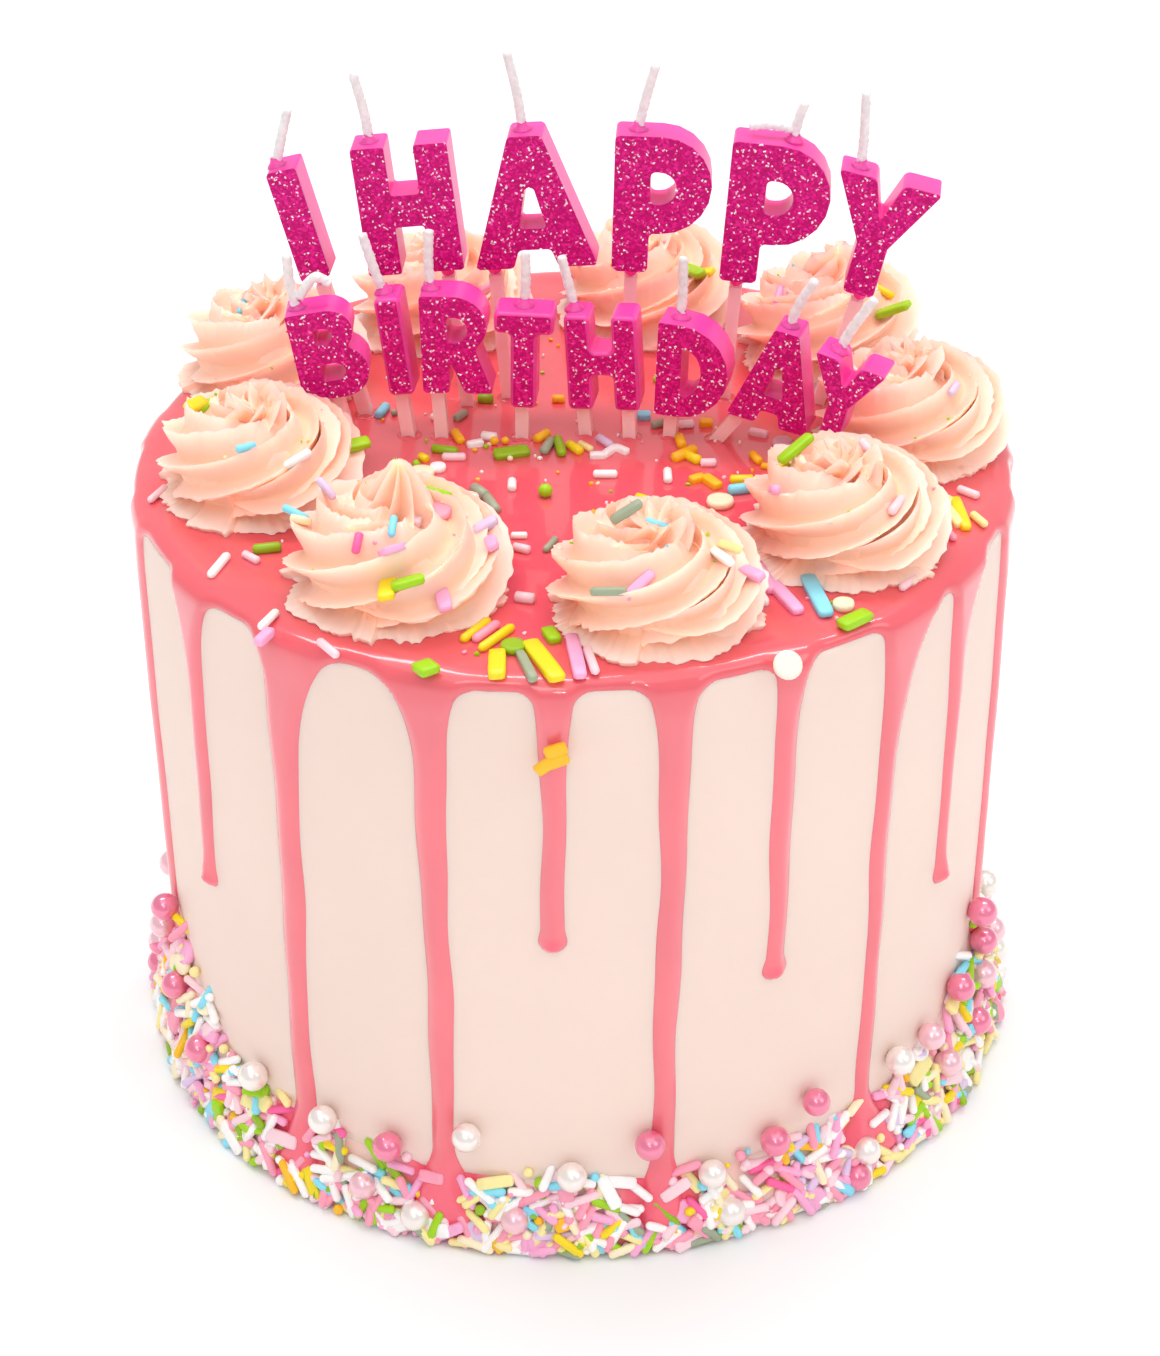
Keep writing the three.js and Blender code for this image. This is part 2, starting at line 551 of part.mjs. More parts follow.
function rosetteGeometry({ radius, height }, seed) {
  const random = seeded(seed);
  const columns = 2 * ROSETTE_ARMS;
  const uneven = Array.from({ length: columns }, () => random() - 0.5);
  const levels = ROSETTE_PROFILE.length;
  const points = ROSETTE_PROFILE.map(([share, rise]) => [share * radius, rise * height]);
  const start = 360 * random();
  return reshape(turned(points, columns), (point, index) => {
    const column = Math.floor(index / levels) % columns;
    const level = index % levels;
    const reach = Math.hypot(point.x, point.y);
    if (reach < 1e-6) {
      return;
    }
    const valley = column % 2 ? VALLEY_DEPTH[level] : 0;
    const rise = point.z / height;
    const ragged = uneven[column] * (level === 1 || level === 2 ? 1.6 : 0.8);
    const distance = Math.max(reach - valley * Math.min(1, reach / 6) + ragged * Math.min(1, reach / 8), 0.6);
    const angle = radians(start + (360 * column) / columns + ROSETTE_TWIST * rise);
    const sunk = point.z > 0 ? 0.35 * valley : 0;
    point.set(distance * Math.cos(angle), distance * Math.sin(angle), point.z - sunk);
  });
}

function surfaceHeight(geometry, x, y) {
  const target = new THREE.Mesh(geometry, new THREE.MeshBasicMaterial({ side: THREE.DoubleSide }));
  const ray = new THREE.Raycaster(new THREE.Vector3(x, y, 100), new THREE.Vector3(0, 0, -1));
  const [hit] = ray.intersectObject(target);
  return hit ? hit.point.z : 0;
}

function dressedRosette(rosette, seed) {
  const swirl = rosetteGeometry(rosette, seed);
  const bits = (ROSETTE_SPRINKLES[rosette.name] ?? []).map(([kind, direction, share, turn]) => {
    const x = share * rosette.radius * Math.cos(radians(direction));
    const y = share * rosette.radius * Math.sin(radians(direction));
    return placedSprinkle(kind, topFrame(x, y, surfaceHeight(swirl, x, y) + 0.3, turn));
  });
  return geometryOf(largest(join([solidOf(swirl), ...bits])));
}

const cake = new THREE.Group();

const candles = CANDLES.map((candle) => ({ candle, ...candleFrame(candle) }));
const bores = candles.flatMap(({ candle, letter }) => (
  candle.picks.map((pick) => solidOf(pickGeometry(candle, pick, GAP).applyMatrix4(letter.matrixWorld)))));
const boreSet = join(bores);

// The frosted cake, with the band of sprinkles at its foot cut clear of the drips that reach it.
const footDrips = DRIPS.filter(([, , end]) => end < bandTop(0));
const slots = join(footDrips.map(dripSlot));
const floorCut = solidOf(new THREE.BoxGeometry(FLOOR_CUT.width, FLOOR_CUT.width, FLOOR_CUT.depth)
  .translate(0, 0, -0.5 * FLOOR_CUT.depth));
const band = join([footBand(), ...footSprinkles()]).subtract(slots).subtract(floorCut);
const body = solidOf(turned(cakeProfile(0), SIDE_SEGMENTS));
cake.add(mesh('frosted_cake', geometryOf(largest(body.add(band).subtract(boreSet))), materials.frosting));

// The glaze: a poured cap with a short skirt and the drips, hollowed to the cake's own form.
const poured = solidOf(turned(GLAZE_PROFILE, SIDE_SEGMENTS));
const topBits = TOP_SPRINKLES.map(([kind, x, y, turn, lift]) => (
  placedSprinkle(kind, topFrame(x, y, GLAZE_TOP + lift, turn))));
const rimBar = placedSprinkle('rimBar', topFrame(...RIM_BAR_PLACE));
const poolPearls = footDrips.filter(([, , end]) => end === 0).map(([, finish], index) => {
  const height = POOL_PEARL.height + POOL_PEARL.sway * Math.sin(7 * index);
  return placedSprinkle('pearl', sideFrame(finish, height, CAKE_RADIUS + POOL_PEARL.out, 0, 0));
});
const hollowProfile = cakeProfile(GAP).map(([radius, height]) => [radius, height || -1]);
const hollow = solidOf(turned(hollowProfile, SIDE_SEGMENTS));
const glaze = join([poured, ...DRIPS.map(dripSolid), ...topBits, rimBar, ...poolPearls])
  .subtract(hollow).subtract(boreSet);
cake.add(mesh('drip_glaze', geometryOf(largest(glaze)), materials.glaze));

ROSETTES.forEach((rosette, index) => {
  const piece = mesh(rosette.name, dressedRosette(rosette, 101 + index), materials.rosette);
  piece.position.set(rosette.x, rosette.y, GLAZE_TOP + GAP);
  cake.add(piece);
});

const counts = { back: 0, front: 0 };
candles.forEach(({ candle, frame, letter }) => {
  counts[candle.row] += 1;
  const label = `${candle.row}_${counts[candle.row]}`;
  letter.add(mesh(`candle_${label}`, candleGeometry(candle), materials.wax));
  letter.add(mesh(`wick_${label}`, wickGeometry(candle), materials.wick));
  candle.picks.forEach((pick, index) => {
    const suffix = index ? '_second' : '';
    letter.add(mesh(`pick_${label}${suffix}`, pickGeometry(candle, pick, 0), materials.pick));
  });
  cake.add(frame);
});

export default cake;
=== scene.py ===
"""A frosted drip cake with piped rosettes, sprinkles and letter candles, dressed over its solid model.

Generators work in millimetres and pieces are made in metres, in the frame of the solid model: +Z up,
origin at the middle of the cake's underside, the viewer's side towards -Y.
"""
import json
import math
from collections import namedtuple

import bmesh
import bpy
import numpy as np
from mathutils import Matrix, Vector
from mathutils.bvhtree import BVHTree

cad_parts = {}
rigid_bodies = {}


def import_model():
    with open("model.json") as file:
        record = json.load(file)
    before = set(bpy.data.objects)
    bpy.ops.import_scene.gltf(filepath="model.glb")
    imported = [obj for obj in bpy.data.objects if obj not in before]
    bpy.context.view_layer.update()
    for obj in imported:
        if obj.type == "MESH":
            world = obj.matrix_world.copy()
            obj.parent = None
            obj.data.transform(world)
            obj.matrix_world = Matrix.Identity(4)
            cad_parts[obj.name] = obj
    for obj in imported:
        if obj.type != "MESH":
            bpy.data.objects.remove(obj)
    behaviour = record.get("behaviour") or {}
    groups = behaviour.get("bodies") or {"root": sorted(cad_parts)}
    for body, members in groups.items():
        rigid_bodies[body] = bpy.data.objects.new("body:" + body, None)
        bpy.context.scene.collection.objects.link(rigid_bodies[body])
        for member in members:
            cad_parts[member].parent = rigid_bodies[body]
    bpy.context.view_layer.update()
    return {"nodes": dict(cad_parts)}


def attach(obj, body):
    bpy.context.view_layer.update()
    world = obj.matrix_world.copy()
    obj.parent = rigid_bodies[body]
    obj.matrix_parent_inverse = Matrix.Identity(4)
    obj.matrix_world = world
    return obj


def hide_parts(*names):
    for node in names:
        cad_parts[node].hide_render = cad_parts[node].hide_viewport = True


bl_info = {
    "name": "Drip cake with letter candles",
    "version": (1, 0, 0),
    "blender": (4, 5, 0),
    "location": "3D View > Sidebar > Cake",
    "description": "Makes the frosting, drips, rosettes, sprinkles and candles of a celebration cake",
    "category": "Object",
}

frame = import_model()
MM = 0.001
TAU = 2 * math.pi

# The cake under its glaze, in millimetres.
CAKE_RADIUS = 80.0
CAKE_TOP = 118.2
CAKE_EDGE = 1.6
CORNER_LENGTH = CAKE_EDGE * math.pi / 2
FLAT_RADIUS = CAKE_RADIUS - CAKE_EDGE
# The glaze: the height of its top, how far its outer edge and its back lie inside the frosting, the height of
# its outline between the drips, where the drips start, and where those that reach the foot end.
GLAZE_TOP = 120.0
GLAZE_SUNK = 0.15
GLAZE_ROOT = 0.4
RIM_HEIGHT = 117.5
DRIP_TOP = 117.8
POOL_FOOT = 1.4
# The funnel of a drip under the rim: its length, and how much longer it is for each millimetre of flare.
FUNNEL_LENGTH = 4.2
FUNNEL_LONGER = 0.5
# Drips: azimuth at the rim and at the end, height of the end (zero runs out at the foot), half width,
# and how far the funnel under the rim flares to the left and to the right.
Drip = namedtuple("Drip", "start finish end half_width flare_left flare_right")
DRIPS = tuple(Drip(*row) for row in (
    (-166, -166, 0, 2.4, 3, 4), (-145.6, -146.3, 54, 2.6, 2.4, 4.2), (-128, -129.2, 0, 2.8, 3.2, 8),
    (-107.5, -107.5, 0, 2.5, 6, 3.2), (-92.6, -92.9, 65, 2.25, 0.8, 1.5), (-77.8, -79.6, 0, 2.35, 3, 2.2),
    (-63.7, -64.6, 53, 2.15, 0.8, 1.5), (-47.6, -49.3, 0, 2.15, 0.6, 9.5), (-33.9, -34.3, 54, 2.1, 0.6, 8),
    (-16.4, -18, 27, 2.3, 1.5, 5), (3, 3.5, 0, 2.4, 4, 4), (21, 20, 62, 2.2, 2, 5), (40, 41, 0, 2.4, 5, 3),
    (58, 57, 44, 2.2, 2, 2), (77, 78.5, 0, 2.5, 3, 6), (95, 94.5, 71, 2.3, 4, 2), (113, 112, 0, 2.3, 3, 5),
    (131, 131.5, 38, 2.2, 2, 4), (150, 149, 0, 2.4, 5, 3), (172, 171.5, 58, 2.3, 3, 3),
))
# Rosettes: node, middle, radius, height, where the coil starts, turns, and depth of the hollow in the
# middle as a share of the height (negative for a peak).
Rosette = namedtuple("Rosette", "name x y radius height start turns dip")
ROSETTES = tuple(Rosette(*row) for row in (
    ("rosette_left_back", -57.5, 29, 18.9, 20, 235, 2.1, 0.16),
    ("rosette_left", -56.3, -14, 19.4, 20.5, 250, 2.05, 0.18),
    ("rosette_left_front", -30.3, -49, 20.4, 24, 245, 2.2, -0.42),
    ("rosette_front", 13.1, -57.6, 19, 20.7, 262, 2.1, 0.15),
    ("rosette_right_front", 46.2, -35.9, 19, 20, 255, 2.0, 0.18),
    ("rosette_right", 61.3, 2, 18.6, 19.5, 250, 2.1, 0.18),
    ("rosette_right_back", 49.6, 38.6, 18.8, 23, 20, 2.2, -0.05),
    ("rosette_back", 14.5, 58.2, 19, 19, 200, 2.05, 0.16),
    ("rosette_back_left", -26.5, 53.6, 18.6, 20.5, 270, 2.1, 0.15),
))
# Candles: node suffix, front face's lower middle, turn, lean, height, and the wick's strands in the plane of
# the letter, measured from its upper middle.
Candle = namedtuple("Candle", "name foot turn lean height strands")
CANDLE_DEPTH = 7.0
CANDLES = tuple(Candle(*row) for row in (
    ("back_1", (-46.4, 12, 148.8), 5, -14.5, 21.5, (((-1.2, 0), (1.2, 4.6), (3.9, 9.4)),)),
    ("back_2", (-28.3, 15, 148.5), 4, -5.9, 24.7, (((-5.6, 0), (-5.7, 5), (-6.7, 12.8)),)),
    ("back_3", (-6.4, 17, 148.5), 5, -4.4, 25.5, (((-0.6, 0), (-0.9, 6), (-2.1, 14.2)),)),
    ("back_4", (16.1, 17, 147.3), 3, 1.7, 26.3, (((-4.8, 0), (-3.8, 5), (-2.1, 12)),)),
    ("back_5", (36.2, 16, 145), 6, 4.4, 27.3,
     (((1.6, 0), (1.8, 3), (2.7, 6.8)), ((1.4, 1), (-2.6, 1.5), (-6.6, 0.9)))),
    ("back_6", (52.2, 13, 144.3), 8, 12.9, 22.9, (((-5.9, 0), (-6.9, 6), (-8.6, 13.4)),)),
    ("front_1", (-42, -3.5, 132.7), 0, -9.2, 17.1,
     (((-4.4, 0), (-4.6, 4), (-4, 10)), ((-3.6, 1), (-0.1, 4.2), (2.6, 2.6)))),
    ("front_2", (-31.1, 2.5, 129.9), 7, -6.9, 19.2, (((-0.9, 0), (-1.7, 3.4), (-3.1, 11)),)),
    ("front_3", (-20.8, 1.5, 130.7), 5, -0.8, 19.3, (((-4.6, 0), (-4.8, 5), (-4.4, 10.8)),)),
    ("front_4", (-9.1, 1.2, 127.7), 5, 1.4, 19, (((-0.2, 0), (0, 5), (-0.2, 10.2)),)),
    ("front_5", (5.7, 1.8, 126.8), 10, -2.6, 18.7, (((-5.1, 0), (-5.7, 3.2), (-7, 9.8)),)),
    ("front_6", (21.2, 0.5, 125.7), 15, 2.3, 18.4, (((-3.3, 0), (-3.2, 5), (-3.4, 11.4)),)),
    ("front_7", (35.1, -3, 126.1), 18, 10.1, 19, (((-0.3, 0), (0.5, 4.5), (2.3, 9.6)),)),
    ("front_8", (45.3, -15, 129.7), 21, 13.3, 15.4, (((-3.1, 0), (-2.2, 4.4), (0.1, 11.4)),)),
))
# Sugar sprinkles whose sizes aren't set in the panel, in millimetres.
BAR_LENGTH = 7.4
BAR_WIDTH = 2.9
BAR_THICKNESS = 1.5
DISC_THICKNESS = 1.3
BALL_WIDTH = 1.9
CRUMB_WIDTH = 1.3
COLOURS = {
    "white": "#FFFCFA", "blush": "#FFD9E2", "pink": "#FFA4BC", "hotpink": "#FF68A6", "orchid": "#FCB0D8",
    "lemon": "#FCEEA4", "yellow": "#F9DE14", "amber": "#FFC21C", "lime": "#A4D808", "green": "#96C012",
    "sky": "#8CE4F8", "lilac": "#E4CCEC", "moss": "#A3AE92", "cream": "#FFF1CC", "mauve": "#E8C2D0",
    "ivory": "#FCF2E2", "pearl": "#FAF0EA", "pearl_blush": "#FAC4D0", "pearl_pink": "#F4749C",
}


def linear(colour):
    """A #RRGGBB colour as linear red, green, blue and alpha."""
    channels = [int(colour[i:i + 2], 16) / 255 for i in (1, 3, 5)]
    return tuple(c / 12.92 if c <= 0.04045 else ((c + 0.055) / 1.055) ** 2.4 for c in channels) + (1.0,)


def smoothstep(value, low, high):
    share = np.clip((value - low) / (high - low), 0, 1)
    return share * share * (3 - 2 * share)


def smooth_max(one, other, width):
    """The greater of two values, with a rounded change from one to the other."""
    share = np.maximum(width - np.abs(one - other), 0) / width
    return np.maximum(one, other) + share * share * width / 4


def arc_from(azimuth, degrees):
    """How far along the cake's side an azimuth in radians lies from one in degrees, either way round."""
    return ((azimuth - np.radians(degrees) + math.pi) % TAU - math.pi) * CAKE_RADIUS


LENGTH = {"unit": "LENGTH", "subtype": "DISTANCE"}
COLOUR = {"size": 4, "subtype": "COLOR"}


class CakeSizes(bpy.types.PropertyGroup):
    """Sizes that change the look of the cake."""
    drip_depth: bpy.props.FloatProperty(
        name="Drip depth", description="How far a drip stands out of the frosting", default=0.0013, **LENGTH)
    bulb_radius: bpy.props.FloatProperty(
        name="Drip end radius", description="Radius of the round end of a drip", default=0.00245, **LENGTH)
    blades: bpy.props.IntProperty(
        name="Blades", description="Ridges that the piping tip leaves in a rosette", default=8, min=5, max=12)
    twist: bpy.props.FloatProperty(
        name="Twist", description="Turn of the ridges about the rope in one coil", default=math.radians(250),
        unit="ROTATION", subtype="ANGLE")
    wick_radius: bpy.props.FloatProperty(
        name="Wick radius", description="Radius of a candle's wick", default=0.00085, **LENGTH)
    flake: bpy.props.FloatProperty(
        name="Flake size", description="Size of a glitter flake", default=0.00042, **LENGTH)
    flakes_per_mm2: bpy.props.FloatProperty(
        name="Flakes per mm²", description="Glitter flakes on a square millimetre", default=0.85)
    rod_length: bpy.props.FloatProperty(
        name="Rod length", description="Length of a sugar rod", default=0.0064, **LENGTH)
    rod_width: bpy.props.FloatProperty(
        name="Rod width", description="Thickness of a sugar rod", default=0.00175, **LENGTH)
    disc_width: bpy.props.FloatProperty(
        name="Disc width", description="Diameter of a flat sugar disc", default=0.005, **LENGTH)
    pearl_width: bpy.props.FloatProperty(
        name="Pearl width", description="Diameter of a sugar pearl", default=0.0055, **LENGTH)


class CakeColours(bpy.types.PropertyGroup):
    """Colours of the frosting, glaze and candles."""
    frosting: bpy.props.FloatVectorProperty(
        name="Frosting", description="Buttercream on the side", default=linear("#F7DDD1"), **COLOUR)
    # The top's colour is deeper than the drips': partly because the glaze lies thicker there, partly painted
    # shade on the top.
    glaze: bpy.props.FloatVectorProperty(
        name="Glaze", description="Poured glaze on the top", default=linear("#F45D68"), **COLOUR)
    drips: bpy.props.FloatVectorProperty(
        name="Drips", description="Glaze where it is thin over the side", default=linear("#FA7480"), **COLOUR)
    pools: bpy.props.FloatVectorProperty(
        name="Pools", description="Glaze where it has gathered", default=linear("#FA5C74"), **COLOUR)
    rosette: bpy.props.FloatVectorProperty(
        name="Rosettes", description="Piped buttercream, on its ridges", default=linear("#FFE2D4"), **COLOUR)
    # Painted shade: a darker, more orange cream colour laid into the valleys between the ridges of the
    # rosettes.
    rosette_valley_shade: bpy.props.FloatVectorProperty(
        name="Rosette valleys", description="Piped buttercream, between its ridges",
        default=linear("#FFC9A8"), **COLOUR)
    wax: bpy.props.FloatVectorProperty(
        name="Wax", description="Candle wax", default=linear("#FF4CAE"), **COLOUR)
    glitter: bpy.props.FloatVectorProperty(
        name="Glitter", description="Ground colour of the glitter coat", default=linear("#D80080"), **COLOUR)
    pick: bpy.props.FloatVectorProperty(
        name="Picks", description="Plastic picks under the candles", default=linear("#FDD3D3"), **COLOUR)


# Meshes.

def piece(name, points, faces, material, slot, smooth=True, replaces=()):
    """A finished piece of the object from points in millimetres, riding on the cake."""
    mesh = bpy.data.meshes.new(name)
    mesh.from_pydata((np.asarray(points, float) * MM).tolist(), [], faces)
    mesh.update()
    if smooth:
        mesh.shade_smooth()
    return placed(name, mesh, material, slot, replaces)


def placed(name, mesh, material, slot, replaces=()):
    """A finished piece of the object from a mesh in metres."""
    made = bpy.data.objects.new(name, mesh)
    bpy.context.scene.collection.objects.link(made)
    mesh.materials.clear()
    mesh.materials.append(material)
    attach(made, "root")
    if replaces:
        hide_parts(*replaces)
    return made


def grid_faces(rows, columns):
    """Quads over rows of points that go round once; they face outwards when the rows go up and the columns go
    counter-clockwise."""
    across = np.arange(columns)
    following = (across + 1) % columns
    low = np.arange(rows - 1)[:, None] * columns
    high = low + columns
    quads = np.stack([low + across, low + following, high + following, high + across], -1)
    return quads.reshape(-1, 4).tolist()


def ring_faces(rows, columns):
    """Quads over rows of points that go round once, with the last row joined to the first."""
    last = (rows - 1) * columns
    return grid_faces(rows, columns) + [[last + j, last + (j + 1) % columns, (j + 1) % columns, j]
                                        for j in range(columns)]


def turned_points(profile, columns):
    """Points of a solid of revolution, row by row, from (radius, height) pairs."""
    angle = np.arange(columns) * TAU / columns
    radius, height = np.asarray(profile, float).T
    return np.stack([radius[:, None] * np.cos(angle), radius[:, None] * np.sin(angle),
                     np.repeat(height[:, None], columns, 1)], -1).reshape(-1, 3)


def capped(points, rows, columns, low, high):
    """Rows of points that go round once and the faces over them, closed at both ends with a fan about a
    middle point."""
    count = rows * columns
    points = np.vstack([np.reshape(points, (-1, 3)), low, high])
    faces = grid_faces(rows, columns)
    for j in range(columns):
        following = (j + 1) % columns
        faces.append([count, following, j])
        faces.append([count + 1, count - columns + j, count - columns + following])
    return points, faces


def merge_parts(parts):
    """Joins (points, faces) pairs into one."""
    points, faces, start = [], [], 0
    for some_points, some_faces in parts:
        points.append(np.asarray(some_points, float))
        faces.extend([[start + index for index in face] for face in some_faces])
        start += len(some_points)
    return np.vstack(points), faces


def mark_points(mesh, name, values):
    """Gives each point of a mesh a number that its material reads."""
    layer = mesh.attributes.new(name, "FLOAT", "POINT")
    layer.data.foreach_set("value", np.asarray(values, np.float32))


def evaluated_mesh(made):
    """The object's mesh with its modifiers applied, which are then removed."""
    graph = bpy.context.evaluated_depsgraph_get()
    mesh = bpy.data.meshes.new_from_object(made.evaluated_get(graph))
    made.modifiers.clear()
    return mesh


# Materials.

def node(tree, kind, inputs=None, **settings):
    """A new node with its settings, each input linked to a socket or set to a value."""
    made = tree.nodes.new(kind)
    for key, value in settings.items():
        setattr(made, key, value)
    for key, value in (inputs or {}).items():
        if isinstance(value, bpy.types.NodeSocket):
            tree.links.new(value, made.inputs[key])
        else:
            made.inputs[key].default_value = value
    return made


def new_group(name, kind, sockets_in, sockets_out):
    """A new node group: the tree, its input sockets and its output sockets."""
    tree = bpy.data.node_groups.new(name, kind)
    for label, socket, default in sockets_in:
        made = tree.interface.new_socket(label, in_out="INPUT", socket_type=socket)
        if default is not None:
            made.default_value = default
    for label, socket in sockets_out:
        tree.interface.new_socket(label, in_out="OUTPUT", socket_type=socket)
    return tree, tree.nodes.new("NodeGroupInput").outputs, tree.nodes.new("NodeGroupOutput").inputs


def computed(tree, operation, *values):
    """The result of a calculation on sockets or numbers."""
    return node(tree, "ShaderNodeMath", dict(enumerate(values)), operation=operation).outputs[0]


def mixed_colour(tree, share, colour, other):
    mixed = node(tree, "ShaderNodeMix", {0: share, 6: colour, 7: other}, data_type="RGBA")
    return mixed.outputs[2]


def attribute(tree, name, output="Fac"):
    return node(tree, "ShaderNodeAttribute", attribute_name=name).outputs[output]


def relief_group():
    """Fine relief of buttercream, wax or sugar: a coarse and a fine noise as one bumped normal."""
    if "Surface relief" in bpy.data.node_groups:
        return bpy.data.node_groups["Surface relief"]
    tree, given, result = new_group("Surface relief", "ShaderNodeTree", (
        ("Vector", "NodeSocketVector", None), ("Coarse scale", "NodeSocketFloat", 200.0),
        ("Fine scale", "NodeSocketFloat", 1200.0), ("Fine share", "NodeSocketFloat", 0.4),
        ("Strength", "NodeSocketFloat", 0.3), ("Depth", "NodeSocketFloat", 0.0004)),
        (("Normal", "NodeSocketVector"),))
    coarse = node(tree, "ShaderNodeTexNoise",
                  {"Vector": given["Vector"], "Scale": given["Coarse scale"], "Detail": 3.0})
    fine = node(tree, "ShaderNodeTexNoise",
                {"Vector": given["Vector"], "Scale": given["Fine scale"], "Detail": 2.0})
    height = node(tree, "ShaderNodeMix", {0: given["Fine share"], 2: coarse.outputs[0], 3: fine.outputs[0]})
    bump = node(tree, "ShaderNodeBump", {"Height": height.outputs[0], "Strength": given["Strength"],
                                         "Distance": given["Depth"]})
    tree.links.new(bump.outputs[0], result["Normal"])
    return tree


def mottle_group():
    """A colour that drifts between two tones in soft patches."""
    if "Mottled colour" in bpy.data.node_groups:
        return bpy.data.node_groups["Mottled colour"]
    tree, given, result = new_group("Mottled colour", "ShaderNodeTree", (
        ("Vector", "NodeSocketVector", None), ("Scale", "NodeSocketFloat", 30.0),
        ("Colour", "NodeSocketColor", (1, 1, 1, 1)), ("Other colour", "NodeSocketColor", (1, 1, 1, 1))),
        (("Colour", "NodeSocketColor"),))
    patches = node(tree, "ShaderNodeTexNoise",
                   {"Vector": given["Vector"], "Scale": given["Scale"], "Detail": 4.0})
    spread = node(tree, "ShaderNodeMapRange",
                  {"Value": patches.outputs[0], "From Min": 0.35, "From Max": 0.65})
    tree.links.new(mixed_colour(tree, spread.outputs[0], given["Colour"], given["Other colour"]),
                   result["Colour"])
    return tree


def new_material(name, **uniform):
    """A material with object coordinates and a Principled shader with uniform values set on it."""
    material = bpy.data.materials.new(name)
    material.use_nodes = True
    tree = material.node_tree
    shader = tree.nodes["Principled BSDF"]
    shader.subsurface_method = "BURLEY"
    for key, value in uniform.items():
        shader.inputs[key.replace("_", " ")].default_value = value
    place = node(tree, "ShaderNodeTexCoord").outputs["Object"]
    return material, tree, shader, place


def add_relief(tree, shader, place, coarse, fine, share, strength, depth):
    """Fine relief at two scales, of which the fine one has a share, as deep as the depth in metres."""
    made = node(tree, "ShaderNodeGroup", node_tree=relief_group())
    for key, value in (("Coarse scale", coarse), ("Fine scale", fine), ("Fine share", share),
                       ("Strength", strength), ("Depth", depth)):
        made.inputs[key].default_value = value
    tree.links.new(place, made.inputs["Vector"])
    tree.links.new(made.outputs["Normal"], shader.inputs["Normal"])


def add_mottle(tree, place, scale, colour, other):
    made = node(tree, "ShaderNodeGroup", node_tree=mottle_group())
    made.inputs["Scale"].default_value = scale
    made.inputs["Colour"].default_value = colour
    made.inputs["Other colour"].default_value = other
    tree.links.new(place, made.inputs["Vector"])
    return made.outputs["Colour"]


def tone(colour, lighter):
    """A colour made lighter or darker."""
    return tuple(min(channel * lighter, 1) for channel in colour[:3]) + (1.0,)


# How far red, green and blue light spreads in buttercream, as shares of the distance set with it.
CREAM_GLOW = (1.0, 0.5, 0.3)


def frosting_material(colours):
    material, tree, shader, place = new_material(
        "Side frosting", Roughness=0.5, Subsurface_Weight=0.35, Subsurface_Radius=CREAM_GLOW,
        Subsurface_Scale=0.003)
    colour = tuple(colours.frosting)
    tree.links.new(add_mottle(tree, place, 18.0, colour, tone(colour, 0.97)), shader.inputs["Base Color"])
    streaks = node(tree, "ShaderNodeMapping", {"Vector": place, "Scale": (0.35, 0.35, 1.6)})
    add_relief(tree, shader, streaks.outputs[0], coarse=260.0, fine=1300.0, share=0.35, strength=0.22,
               depth=0.0004)
    return material


def glaze_material(colours):
    """Deep on the top and paler over the side: partly because it lies thick on the top and runs thin over
    the side, partly painted shade on the top.
    """
    material, tree, shader, place = new_material(
        "Glaze", Roughness=0.28, Subsurface_Weight=0.2, Subsurface_Radius=(1.0, 0.4, 0.4),
        Subsurface_Scale=0.001, IOR=1.45, Coat_Weight=1.0, Coat_Roughness=0.03)
    top, side = tuple(colours.glaze), tuple(colours.drips)
    # The side's colour turns to the top's deeper one over the edge; that depth is partly painted shade.
    height = node(tree, "ShaderNodeSeparateXYZ", {0: place}).outputs["Z"]
    share = node(tree, "ShaderNodeMapRange", {"Value": height, "From Min": 0.112, "From Max": 0.1195})
    poured = mixed_colour(tree, share.outputs[0], add_mottle(tree, place, 45.0, side, tone(side, 0.92)),
                          add_mottle(tree, place, 45.0, top, tone(top, 0.9)))
    richer = mixed_colour(tree, attribute(tree, "gathered"), poured, tuple(colours.pools))
    tree.links.new(richer, shader.inputs["Base Color"])
    add_relief(tree, shader, place, coarse=60.0, fine=240.0, share=0.2, strength=0.1, depth=0.0005)
    return material


def foot_material(colours):
    """Frosting at the foot, with glaze where the drips have run out."""
    material, tree, shader, place = new_material(
        "Glazed foot", Roughness=0.25, Subsurface_Weight=0.3, Subsurface_Scale=0.002)
    wet = attribute(tree, "gathered")
    cream = add_mottle(tree, place, 200.0, tuple(colours.frosting), linear("#F9C9C2"))
    tree.links.new(mixed_colour(tree, wet, cream, tuple(colours.pools)), shader.inputs["Base Color"])
    add_relief(tree, shader, place, coarse=500.0, fine=1400.0, share=0.4, strength=0.3, depth=0.0005)
    return material


def rosette_material(colours):
    material, tree, shader, place = new_material(
        "Piped buttercream", Roughness=0.42, Subsurface_Weight=0.55, Subsurface_Radius=CREAM_GLOW,
        Subsurface_Scale=0.003)
    # Painted shade: the cream's own colour on the ridges turns darker and more orange towards the bottom of
    # the valleys.
    valley_shade = attribute(tree, "valley_shade")
    ridge = tuple(colours.rosette)
    light = add_mottle(tree, place, 60.0, ridge, tone(ridge, 0.97))
    tree.links.new(mixed_colour(tree, valley_shade, light, tuple(colours.rosette_valley_shade)),
                   shader.inputs["Base Color"])
    add_relief(tree, shader, place, coarse=420.0, fine=1700.0, share=0.45, strength=0.22, depth=0.0003)
    return material


def wax_material(colours):
    material, tree, shader, place = new_material(
        "Candle wax", Roughness=0.32, Subsurface_Weight=0.85, Subsurface_Radius=(1.0, 0.25, 0.6),
        Subsurface_Scale=0.004)
    colour = tuple(colours.wax)
    tree.links.new(add_mottle(tree, place, 120.0, colour, tone(colour, 0.9)), shader.inputs["Base Color"])
    add_relief(tree, shader, place, coarse=300.0, fine=1500.0, share=0.3, strength=0.18, depth=0.0003)
    return material


